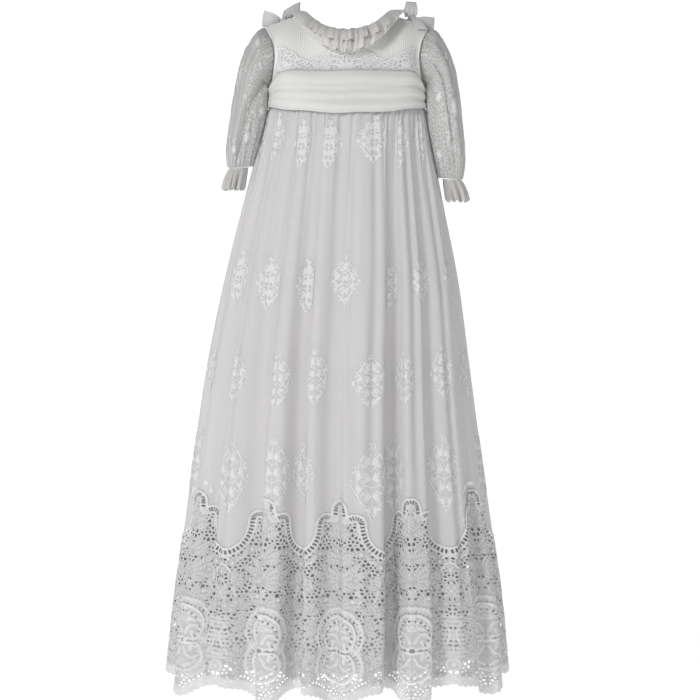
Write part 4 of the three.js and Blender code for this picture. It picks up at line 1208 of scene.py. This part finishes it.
def sleeve_cloth(side):
    sign = SIDES[side]["sign"]
    columns, rows = SLEEVE_MESH
    angle = sign * np.arange(columns) / columns * 2 * np.pi
    names = ("outer", "outer_z", "inner", "inner_z", "depth")
    sections = list(zip(*(SLEEVE_SECTIONS[name] for name in names)))
    rings = [armhole_ring(sign, angle)]
    rings += [sleeve_ring(section, side, angle, 1.0) for section in sections]
    at = np.linspace(0, len(rings) - 1, rows)
    points = through(np.array(rings), at)
    centre = points.mean(axis=1, keepdims=True)
    share = np.linspace(0, 1, rows)[:, None]
    turn = np.degrees(angle)[None, :]
    turn = (turn + 180) % 360 - 180
    waves = SLEEVE_GATHERS * angle + 0.9 * np.sin(3 * angle + 1) + 0.6 * np.sin(5 * angle)
    near_top = np.exp(-share / 0.13) * smooth(share / 0.02)
    near_wrist = np.exp(-(1 - share) / 0.12)
    gather = (0.10 * near_wrist - 0.045 * near_top) * (0.5 + 0.5 * np.sin(waves))[None, :]
    inwards = np.zeros(points.shape[:2])
    folds = SLEEVE_FOLDS[side]
    for top, low, width, begin, end, depth in zip(*(folds[k] for k in folds)):
        off = np.abs(turn * sign - lerp(top, low, share)) / width
        trough = (1 + np.cos(np.pi * np.minimum(off, 1))) / 2
        inwards += depth * trough * smooth((share - begin) / 0.12) * smooth((end - share) / 0.15)
    drape = SLEEVE_DRAPES[side]
    off = turn * sign - curve(drape["path"], "share", "turn", share)
    off = np.abs(np.where(off < 0, off / drape["before"], off / drape["after"]))
    trough = (1 + np.cos(np.pi * np.minimum(off, 1))) / 2
    inwards += drape["depth"] * trough * smooth((share - 0.1) / 0.25) * smooth((1.02 - share) / 0.15)
    away = points - centre
    size = np.linalg.norm(away, axis=-1)
    scale = 1 - gather - inwards / np.maximum(size, 1)
    points = centre + away * scale[..., None]
    near_skirt = np.exp(-(((turn - SLEEVE_BULGE["turn"]) / SLEEVE_BULGE["width"]) ** 2))
    points[..., 0] -= sign * SLEEVE_BULGE["deep"] * near_skirt * smooth((share - 0.16) / 0.2)
    u = np.linspace(0, SLEEVE_ROUND, columns + 1)
    return Cloth(u, np.linspace(0, SLEEVE_LONG, rows), points, around=True)


SLEEVE_FLOWERS = (  # place round and down, in shares, petals and size
    (0.03, 0.20, 8, 9.5),
    (0.16, 0.34, 6, 8.0),
    (0.30, 0.16, 8, 9.0),
    (0.46, 0.30, 6, 8.5),
    (0.60, 0.18, 8, 9.0),
    (0.75, 0.33, 6, 8.0),
    (0.89, 0.16, 8, 9.0),
    (0.00, 0.50, 6, 8.5),
    (0.13, 0.60, 8, 9.5),
    (0.27, 0.50, 6, 8.0),
    (0.42, 0.62, 8, 9.5),
    (0.58, 0.52, 6, 8.5),
    (0.72, 0.62, 8, 9.0),
    (0.87, 0.47, 6, 8.0),
    (0.05, 0.78, 8, 8.5),
    (0.20, 0.84, 6, 7.5),
    (0.36, 0.80, 8, 8.5),
    (0.52, 0.84, 6, 7.5),
    (0.66, 0.80, 8, 8.0),
    (0.80, 0.82, 6, 7.5),
    (0.93, 0.86, 6, 7.0),
)


RIBBED_HALF = 26.0  # half the width of the ribbed part of each sleeve


def spiral(centre, radius, turns, start):
    steps = int(16 * turns)
    line = []
    for i in range(steps + 1):
        share = i / steps
        angle = math.radians(start) + share * turns * 2 * math.pi
        size = radius * (0.12 + 0.88 * share)
        line.append((centre[0] + size * math.sin(angle), centre[1] - size * math.cos(angle)))
    return line


def sleeve_work(u, v, start, ribbed):
    """Flowers, spirals and leaves over a sleeve laid flat, alike at both edges."""
    x, y = np.meshgrid(u, v)
    work = Needlework(x, y)
    for number, (across, down, petals, size) in enumerate(SLEEVE_FLOWERS):
        shifted = (across + start) % 1 * SLEEVE_ROUND
        for turn in (-SLEEVE_ROUND, 0, SLEEVE_ROUND):
            centre = (shifted + turn, down * SLEEVE_LONG)
            if not -20 < centre[0] < SLEEVE_ROUND + 20:
                continue
            if number % 3 == 1:
                work.cord(spiral(centre, size * 0.8, 1.6, 40 * number), 0.95, 0.8)
            else:
                work.flower(centre, petals, size, size * 0.26, start=17 * number, height=1.0)
                work.ring(centre, size * 0.34, 0.7, 1.1)
            for k in range(0, 4, 1 + number % 2):
                angle = 90 * k + 31 * number
                ahead = math.radians(angle)
                reach = size * 1.15
                base = (centre[0] + reach * math.sin(ahead), centre[1] - reach * math.cos(ahead))
                work.leaf(base, angle + 24, size * 1.05, size * 0.22, height=0.7)
                work.leaf(base, angle - 40, size * 0.8, size * 0.2, height=0.6)
    ribs = 0.62 - np.abs((x + 0.4 * np.sin(y / 7)) % 4.0 - 2.0)
    beside = np.abs((x - ribbed + SLEEVE_ROUND / 2) % SLEEVE_ROUND - SLEEVE_ROUND / 2) < RIBBED_HALF
    ground = np.where(beside, ribs, brides(x, y, 4.8, 0.5, SLEEVE_ROUND))
    work.add(np.where(work.cover < -1.0, ground, -5), 0.35)
    return work


def sleeve(side, start, ribbed, looks):
    cloth = sleeve_cloth(side)
    net = whole_cloth(f"sleeve_{side}_net", cloth, looks["sleeve_net_painted_shade"])
    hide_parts(f"sleeve_{side}")
    u = np.linspace(0, SLEEVE_ROUND, 181)
    v = np.linspace(3, SLEEVE_LONG - 4, 139)
    work = sleeve_work(u, v, start, ribbed)
    stitched = patch(f"sleeve_{side}_embroidery", cloth, u, v, looks["sleeve_lace"],
                     work.cover, 0.2 + work.height, work.height)
    return net


# Cuff frills: profile rows down from the wrist, with half width, half depth, lean and wave share
CUFF_FRILL = table(
    "drop width depth lean wave",
    (0.6, 12, 14.5, 0, 0),
    (3, 11.4, 14.8, 0.8, 0.03),
    (7, 12.2, 18, 2, 0.08),
    (16, 12.6, 21, 4.5, 0.14),
    (28, 12.8, 23, 7, 0.18),
)
CUFF_WAVES = 10
CUFF_ROUND = 100.0


def cuff_frill(side, phase, looks):
    sign = SIDES[side]["sign"]
    names = ("outer", "outer_z", "inner", "inner_z", "depth")
    wrist = [SLEEVE_SECTIONS[name][-1] for name in names]
    centre = sleeve_ring(wrist, side, np.array([0.0]), 0.0)[0]
    columns, rows = CUFF_MESH
    angle = sign * np.arange(columns) / columns * 2 * np.pi
    profile = np.stack([CUFF_FRILL[k] for k in ("drop", "width", "depth", "lean", "wave")], axis=-1)
    shape = through(profile, np.linspace(0, len(profile) - 1, rows))
    drop, width, depth, lean, wave = (shape[:, k, None] for k in range(5))
    uneven = 0.7 * np.sin(2 * angle + phase) + 0.5 * np.sin(5 * angle + 2 * phase)
    ripple = np.cos(CUFF_WAVES * angle + uneven) + 0.22 * np.cos(2.9 * CUFF_WAVES * angle + 2 * uneven)
    size = 1 + wave * ripple[None, :]
    x = centre[0] + sign * (lean + width * np.sin(angle) * size)
    y = -depth * np.cos(angle) * size
    z = centre[2] - drop + 0.8 * wave * 10 * ripple[None, :]
    around = np.linspace(0, CUFF_ROUND, columns + 1)
    cloth = Cloth(around, drop[:, 0], np.stack([x, y, z], axis=-1), around=True)
    v, cover = frill_edge(cloth, 36, CUFF_ROUND / 40, 1.5, start=cloth.v[0])
    u_grid, v_grid = np.meshgrid(cloth.u, v)
    hem = np.clip(1 - np.abs(cover - 2.4) / 0.7, 0, 1) * 0.4
    scallop = np.abs(np.sin(np.pi * u_grid / (CUFF_ROUND / 10)))
    band = np.clip(1 - np.abs(v_grid - 19 - 3 * scallop) / 0.8, 0, 1) * 0.5
    raised = np.maximum(hem, band)
    piece = patch(f"cuff_frill_{side}_lace", cloth, cloth.u, v, looks["frill"], cover, raised, raised)
    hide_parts(f"cuff_frill_{side}")
    return piece


# Shoulder bows

KNOT_RADIUS = 5.0
BOWS = {
    "left": {
        "side": -1, "across": 0.72, "up": 0.96,
        "loops": {
            "outer": {"ahead": (-1, 0.2, 0.14), "length": 22, "open": 8, "width": 20, "tip": 1.0,
                      "middle": 0.78, "base": 0.35},
            "inner": {"ahead": (0.66, 0.42, 0.82), "length": 28, "open": 8, "width": 19, "tip": 0.12,
                      "middle": 1.0, "base": 0.5, "wide": (1, 0, 0.1)},
        },
        "tails": {
            "outer": ((-4, 5.6, 1), (-6, 23, 0), (-12, 30, -30)),
            "inner": ((4, 5.6, 1), (6, 25, 0), (12, 32, -33)),
        },
    },
    "right": {
        "side": 1, "across": 0.72, "up": 0.96,
        "loops": {
            "outer": {"ahead": (1, 0.25, -0.08), "length": 26, "open": 8, "width": 15, "tip": 1.0,
                      "middle": 0.95, "base": 0.55},
            "inner": {"ahead": (0.06, 0.25, 1), "length": 20, "open": 9, "width": 17, "tip": 0.72,
                      "middle": 1.0, "base": 0.7},
        },
        "tails": {
            "outer": ((2.7, -3.9, 4.1), (6, -14, 7), (13, -24, -11)),
            "inner": ((-4, 5.6, 1), (-6, 23, 0), (-12, 30, -30)),
        },
    },
}


def unit(vector):
    vector = np.asarray(vector, float)
    return vector / np.linalg.norm(vector)


def knot_centre(bow):
    def at(across, up):
        return bodice_point(-1, -bow["side"] * across, up)

    seat = at(bow["across"], bow["up"])
    rise = at(bow["across"], bow["up"] + 0.02) - seat
    outwards = at(bow["across"] + 0.02, bow["up"]) - seat
    normal = unit(np.cross(rise, outwards) * bow["side"])
    return seat + normal * (KNOT_RADIUS + SEAM - 1.1)


def ribbon_cloth(path, widths, across, curl, pleats):
    """A ribbon along a path, with a soft curl across and pleats that fade from both its ends."""
    columns = 25
    share = np.linspace(-1, 1, columns)
    path = np.asarray(path)
    ahead = np.gradient(path, axis=0)
    lift = np.cross(ahead, across)
    lift = lift / np.linalg.norm(lift, axis=1, keepdims=True)
    sag = curl * (share**2)[None, :] + pleats[:, None] * np.cos(share * 3.2 * np.pi)[None, :]
    points = path[:, None, :] + across * (share[None, :, None] * widths[:, None, None] / 2)
    points = points + lift[:, None, :] * sag[..., None]
    walked = np.concatenate([[0], np.cumsum(np.linalg.norm(np.diff(path, axis=0), axis=1))])
    return Cloth(share * widths.max() / 2, walked, points)


def bow_loop(name, centre, loop, surface):
    ahead = unit(loop["ahead"])
    wide = unit(loop.get("wide", [ahead[2], 0, -ahead[0]]))
    thick = unit(np.cross(ahead, wide))
    start = centre + ahead * (KNOT_RADIUS - SEAM)
    angle = np.linspace(-0.9 * np.pi, 0.9 * np.pi, 49)
    along_it = (np.cos(angle) + 1) / 2 * loop["length"]
    apart = np.sin(angle) * loop["open"] / 2
    path = start + ahead * along_it[:, None] + thick * apart[:, None]
    from_tip = 1 - along_it / loop["length"]
    shares = (loop["tip"], loop["middle"], loop["base"])
    widths = loop["width"] * np.interp(from_tip, (0.02, 0.6, 1), shares)
    pleats = 0.9 * from_tip**2
    piece = whole_cloth(name, ribbon_cloth(path, widths, wide, 0.5, pleats), surface)
    thickened(piece, 0.4, 0)
    return piece


def bow_tail(name, centre, points, surface):
    start, bend, end = (np.array(point, float) for point in points)
    share = np.linspace(0, 1, 33)[:, None]
    path = centre + start * (1 - share) ** 2 + bend * 2 * share * (1 - share) + end * share**2
    widths = lerp(7.0, 14.0, np.linspace(0, 1, 33))
    pleats = 0.7 * np.linspace(1, 0, 33) ** 2
    across = np.array([1.0, 0, 0])
    piece = whole_cloth(name, ribbon_cloth(path, widths, across, -0.7, pleats), surface)
    thickened(piece, 0.4, 0)
    return piece


def bow_knot(name, centre, surface):
    """The band wrapped round the middle of a bow, with pleats running over it."""
    columns, rows = KNOT_MESH
    turn = np.arange(columns) / columns * 2 * np.pi
    share = np.linspace(0.02, 0.98, rows)[:, None]
    lean = np.pi * share
    pleat = 1 + 0.05 * np.cos(5 * turn)[None, :] * np.sin(lean) ** 2
    radius = (KNOT_RADIUS - 0.3) * pleat
    x = radius * np.cos(lean) * np.ones(columns)
    y = radius * np.sin(lean) * np.cos(turn)
    z = radius * np.sin(lean) * np.sin(turn)
    points = centre + np.stack([x, y, z], axis=-1)
    cloth = Cloth(np.linspace(0, 30, columns + 1), share[:, 0] * 12, points, around=True)
    return whole_cloth(name, cloth, surface)


def bows(surface):
    for side, bow in BOWS.items():
        centre = knot_centre(bow)
        knot = bow_knot(f"bow_{side}_band", centre, surface)
        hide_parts(f"bow_{side}_knot")
        for which, loop in bow["loops"].items():
            piece = bow_loop(f"bow_{side}_ribbon_loop_{which}", centre, loop, surface)
            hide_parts(f"bow_{side}_loop_{which}")
        for which, points in bow["tails"].items():
            piece = bow_tail(f"bow_{side}_ribbon_tail_{which}", centre, points, surface)
            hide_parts(f"bow_{side}_tail_{which}")


# The back closing: heights as shares of the back panel

PLACKET = {"half": 8.0, "top": 0.96, "bottom": 0.5}
BUTTON = {"first": 0.88, "last": 0.58, "count": 3, "radius": 4.5, "depth": 2.4}


def placket(looks):
    """A strip over the join of the back panels, with stitched edges and worked buttonholes."""
    reach = PLACKET["half"] / WAIST["half"] / (math.pi / 2)
    across = np.linspace(-reach, reach, 25)
    up = np.linspace(PLACKET["top"], PLACKET["bottom"], 61)
    points = bodice_point(-1, across[None, :], up[:, None])
    cloth = Cloth(np.linspace(-8, 8, 25), np.linspace(0, 50, 61), points)
    x, y = np.meshgrid(cloth.u, cloth.v)
    stitches = np.clip(1 - np.abs(np.abs(x) - 6.4) / 0.35, 0, 1) * (np.sin(y * 2.6) > -0.3) * 0.25
    rounded = 0.5 * np.sqrt(np.clip(1 - (np.abs(x) / 8.2) ** 6, 0, 1))
    holes = np.zeros(x.shape)
    ups = np.linspace(BUTTON["first"], BUTTON["last"], BUTTON["count"])
    for middle in np.interp(ups, up[::-1], cloth.v[::-1]):
        off = np.hypot(np.maximum(np.abs(x) - 5.0, 0), y - middle)
        holes = np.maximum(holes, np.clip(1 - np.abs(off - 0.9) / 0.6, 0, 1) * 0.3)
    out = SEAM + 0.6 + rounded + holes - stitches
    piece = whole_cloth("back_placket_strip", cloth, looks["lawn"], out)
    thickened(piece, 1.0)
    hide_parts("back_placket")


def button(number, up, surface, thread):
    """A turned button with a raised rim, a dished middle and two holes sewn through."""
    seat, below = bodice_point(-1, 0.0, up), bodice_point(-1, 0.0, up - 0.02)
    away = unit([0, seat[2] - below[2], below[1] - seat[1]])
    rise = unit(np.cross(away, [1, 0, 0]))
    base = seat + away * (SEAM * 2 + WALL + SEAM / 2)
    r, d = BUTTON["radius"], BUTTON["depth"]
    profile = smooth_line(
        ((0.3, 0.0), (r * 0.7, 0.0), (r * 0.93, d * 0.2), (r, d * 0.6), (r * 0.93, d * 0.95),
         (r * 0.8, d), (r * 0.66, d * 0.72), (r * 0.4, d * 0.6), (0.3, d * 0.58)), 5,
    )
    columns = 48
    turn = np.arange(columns) / columns * 2 * np.pi
    ring = np.cos(turn)[:, None] * np.array([1.0, 0, 0]) + np.sin(turn)[:, None] * rise
    points = base + profile[:, None, :1] * ring + profile[:, None, 1:] * away
    flat_v = np.linspace(0, 12, len(profile))
    cloth = Cloth(np.linspace(0, 28, columns + 1), flat_v, points[::-1], around=True)
    disc = whole_cloth(f"button_{number}_turned", cloth, surface)
    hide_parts(f"button_{number}")
    lines = []
    for side in (-1, 1):
        middle = base + np.array([1.0, 0, 0]) * side * 1.1 + away * d * 0.62
        lines.append([middle + rise * 1.2 * c + away * 0.35 * (1 - c * c) for c in np.linspace(-1, 1, 7)])
    for side, line in zip(("a", "b"), lines):
        around_it = np.linspace(0, 2 * np.pi, 8, endpoint=False)
        tube = np.array([
            [point + 0.3 * (np.cos(a) * np.array([1.0, 0, 0]) + np.sin(a) * away) for a in around_it]
            for point in line
        ])
        stitch = Cloth(np.linspace(0, 2, 9), np.linspace(0, 3, 7), tube, around=True)
        whole_cloth(f"button_{number}_thread_{side}", stitch, thread)


# Fabrics


def fabric(name, colour, roughness, weave, sheen=0.3, tone=0.03, alpha=1.0, raised=None):
    """A woven cloth: colour that varies a little, crossed threads, and sheen. weave gives the
    threads in a centimetre, how uneven they are and how deep. raised is the colour painted on its
    highest thread; lower thread is painted darker, down to colour where it lies lowest, as painted
    shade in the hollows of the needlework."""
    surface = bpy.data.materials.new(name)
    surface.use_nodes = True
    nodes, links = surface.node_tree.nodes, surface.node_tree.links
    shader = nodes["Principled BSDF"]
    shader.inputs["Roughness"].default_value = roughness
    shader.inputs["Sheen Weight"].default_value = sheen
    shader.inputs["Sheen Roughness"].default_value = 0.4
    shader.inputs["Alpha"].default_value = alpha
    shader.inputs["Specular IOR Level"].default_value = 0.3
    place = nodes.new("ShaderNodeUVMap")
    place.uv_map = "flat"
    cloudy = nodes.new("ShaderNodeTexNoise")
    cloudy.inputs["Scale"].default_value = 0.35
    cloudy.inputs["Detail"].default_value = 4
    links.new(place.outputs["UV"], cloudy.inputs["Vector"])
    tint = nodes.new("ShaderNodeMix")
    tint.data_type = "RGBA"
    tint.inputs["A"].default_value = (*(c * (1 - tone) for c in colour), 1)
    tint.inputs["B"].default_value = (*(min(c * (1 + tone), 1) for c in colour), 1)
    links.new(cloudy.outputs["Fac"], tint.inputs["Factor"])
    result = tint.outputs["Result"]
    # Painted shade: the relief attribute mixes from colour on the lowest thread to raised on the highest, so
    # the hollows of the needlework are painted darker
    if raised is not None:
        relief = nodes.new("ShaderNodeAttribute")
        relief.attribute_name = "relief"
        height = nodes.new("ShaderNodeMapRange")
        height.inputs["From Min"].default_value = 0.15
        height.inputs["From Max"].default_value = 1.0
        links.new(relief.outputs["Fac"], height.inputs["Value"])
        lift = nodes.new("ShaderNodeMix")
        lift.data_type = "RGBA"
        lift.inputs["B"].default_value = (*raised, 1)
        links.new(height.outputs["Result"], lift.inputs["Factor"])
        links.new(result, lift.inputs["A"])
        result = lift.outputs["Result"]
    links.new(result, shader.inputs["Base Color"])
    threads, uneven, deep = weave
    heights = []
    for direction in ("X", "Y"):
        wave = nodes.new("ShaderNodeTexWave")
        wave.bands_direction = direction
        wave.inputs["Scale"].default_value = threads / 3.18
        wave.inputs["Distortion"].default_value = uneven
        wave.inputs["Detail"].default_value = 1
        links.new(place.outputs["UV"], wave.inputs["Vector"])
        heights.append(wave.outputs["Fac"])
    crossed = nodes.new("ShaderNodeMath")
    crossed.operation = "MAXIMUM"
    links.new(heights[0], crossed.inputs[0])
    links.new(heights[1], crossed.inputs[1])
    bump = nodes.new("ShaderNodeBump")
    bump.inputs["Strength"].default_value = 0.5
    bump.inputs["Distance"].default_value = deep * MM
    links.new(crossed.outputs[0], bump.inputs["Height"])
    links.new(bump.outputs["Normal"], shader.inputs["Normal"])
    return surface


# guipure, embroidery, sleeve_lace and frill carry painted shade: their first colour is painted where the
# thread lies lowest, and raised where it stands highest
LOOKS = {
    "net": fabric("net", (0.82, 0.805, 0.81), 0.85, (9, 0.3, 0.10), alpha=0.82),
    "satin": fabric("satin", (0.72, 0.72, 0.725), 0.42, (14, 0.2, 0.05), sheen=0.15),
    "bow_satin": fabric("bow_satin", (0.68, 0.68, 0.68), 0.36, (14, 0.2, 0.05), sheen=0.15),
    "lawn": fabric("lawn", (0.93, 0.93, 0.92), 0.85, (11, 0.4, 0.05)),
    "organza": fabric("organza", (0.75, 0.755, 0.735), 0.6, (12, 0.2, 0.05), sheen=0.5),
    "guipure": fabric("guipure", (0.60, 0.59, 0.59), 0.9, (7, 2.5, 0.3), raised=(0.86, 0.855, 0.855)),
    "embroidery": fabric(
        "embroidery", (0.84, 0.84, 0.835), 0.85, (7, 2.5, 0.25), raised=(0.93, 0.93, 0.925)
    ),
    # The sleeve net is painted grey as shade: the grey stands for the dimness seen through the thin net, not
    # for the white net's own colour
    "sleeve_net_painted_shade": fabric("sleeve_net_painted_shade", (0.62, 0.62, 0.61), 0.9, (9, 0.4, 0.12), alpha=0.92),
    "sleeve_lace": fabric("sleeve_lace", (0.70, 0.70, 0.695), 0.9, (7, 2.5, 0.3), raised=(0.93, 0.93, 0.925)),
    "frill": fabric("frill", (0.68, 0.67, 0.655), 0.8, (9, 0.6, 0.08), sheen=0.4, raised=(0.82, 0.815, 0.80)),
    "pearl": fabric("pearl", (0.82, 0.81, 0.78), 0.25, (2, 6.0, 0.01), sheen=0.0),
    "thread": fabric("thread", (0.85, 0.85, 0.84), 0.8, (12, 0.5, 0.05)),
}


# Making the gown

for panel, facing in (("skirt_front", 1), ("skirt_back", -1)):
    skirt_panel(panel, facing, LOOKS)

LINING = whole_cloth("skirt_lining_satin", lining_cloth(), LOOKS["satin"])
thickened(LINING, 0.6)
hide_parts("skirt_lining")

FRONT = bodice_panel("bodice_front_lawn", "bodice_front", 1, -1, 1, 720, LOOKS["lawn"])
BACK_GAP = SEAM / WAIST["half"]
RIGHT = bodice_panel("bodice_back_right_lawn", "bodice_back_right", -1, -1, -BACK_GAP, 240, LOOKS["lawn"])
LEFT = bodice_panel("bodice_back_left_lawn", "bodice_back_left", -1, BACK_GAP, 1, 240, LOOKS["lawn"])
yoke_lace(LOOKS["embroidery"])
sash(LOOKS["organza"])
neck_frill(LOOKS["frill"])
sleeve("left", 0.0, 186.0, LOOKS)
sleeve("right", 0.37, 44.0, LOOKS)
cuff_frill("left", 0.3, LOOKS)
cuff_frill("right", 1.7, LOOKS)
bows(LOOKS["bow_satin"])
placket(LOOKS)
for i, up in enumerate(np.linspace(BUTTON["first"], BUTTON["last"], BUTTON["count"])):
    button(i + 1, float(up), LOOKS["pearl"], LOOKS["thread"])


# Light, floor and camera


def area_light(name, place, aim, size, power):
    light = bpy.data.lights.new(name, "AREA")
    light.shape = "DISK"
    light.size = size
    light.energy = power
    lamp = bpy.data.objects.new(name, light)
    lamp.location = place
    lamp.rotation_euler = (Vector(aim) - Vector(place)).to_track_quat("-Z", "Y").to_euler()
    bpy.context.scene.collection.objects.link(lamp)


# The floor and its backdrop, in metres
FLOOR = {"z": -0.92, "back_y": 5.5, "bend": 1.2, "front_y": -6.0, "half": 7.0, "high": 7.0, "glow": 0.62}
WORLD_GLOW = 0.24


def sweep():
    """A pale floor that curves up into a backdrop."""
    floor_z, back_y, bend, front_y, half, high = (
        FLOOR[key] for key in ("z", "back_y", "bend", "front_y", "half", "high")
    )
    profile = [(front_y, floor_z), (back_y - bend, floor_z)]
    for i in range(1, 13):
        a = math.pi / 2 * i / 12
        profile.append((back_y - bend + bend * math.sin(a), floor_z + bend * (1 - math.cos(a))))
    profile.append((back_y, high))
    points = [(x, y, z) for y, z in profile for x in (-half, half)]
    faces = [(2 * i, 2 * i + 1, 2 * i + 3, 2 * i + 2) for i in range(len(profile) - 1)]
    mesh = bpy.data.meshes.new("floor")
    mesh.from_pydata(points, [], faces)
    mesh.polygons.foreach_set("use_smooth", [True] * len(faces))
    surface = bpy.data.materials.new("floor")
    surface.use_nodes = True
    shader = surface.node_tree.nodes["Principled BSDF"]
    shader.inputs["Base Color"].default_value = (0.9, 0.9, 0.9, 1)
    shader.inputs["Roughness"].default_value = 0.9
    shader.inputs["Emission Color"].default_value = (1, 1, 1, 1)
    shader.inputs["Emission Strength"].default_value = FLOOR["glow"]
    mesh.materials.append(surface)
    floor = bpy.data.objects.new("floor", mesh)
    bpy.context.scene.collection.objects.link(floor)


sweep()
area_light("key", (-1.5, -2.3, 1.0), (0, 0, -0.4), 0.9, 31)
area_light("fill", (1.8, -2.2, 0.2), (0, 0, -0.4), 1.6, 3)
world = bpy.data.worlds.new("studio")
world.use_nodes = True
world.node_tree.nodes["Background"].inputs["Color"].default_value = (1, 1, 1, 1)
world.node_tree.nodes["Background"].inputs["Strength"].default_value = WORLD_GLOW
bpy.context.scene.world = world
bpy.context.scene.view_settings.view_transform = "Standard"

CAMERA = {"distance": 2.7, "elevation": 4.0, "target": (0.0037, 0.0, -0.398), "wide": 0.854}
SENSOR = 36.0


def add_camera():
    data = bpy.data.cameras.new("camera")
    data.sensor_width = SENSOR
    data.lens = SENSOR * CAMERA["distance"] / CAMERA["wide"]
    camera = bpy.data.objects.new("camera", data)
    target = Vector(CAMERA["target"])
    angle = math.radians(CAMERA["elevation"])
    back = Vector((0, -math.cos(angle), math.sin(angle)))
    camera.location = target + back * CAMERA["distance"]
    camera.rotation_euler = (-back).to_track_quat("-Z", "Y").to_euler()
    bpy.context.scene.collection.objects.link(camera)
    bpy.context.scene.camera = camera


add_camera()
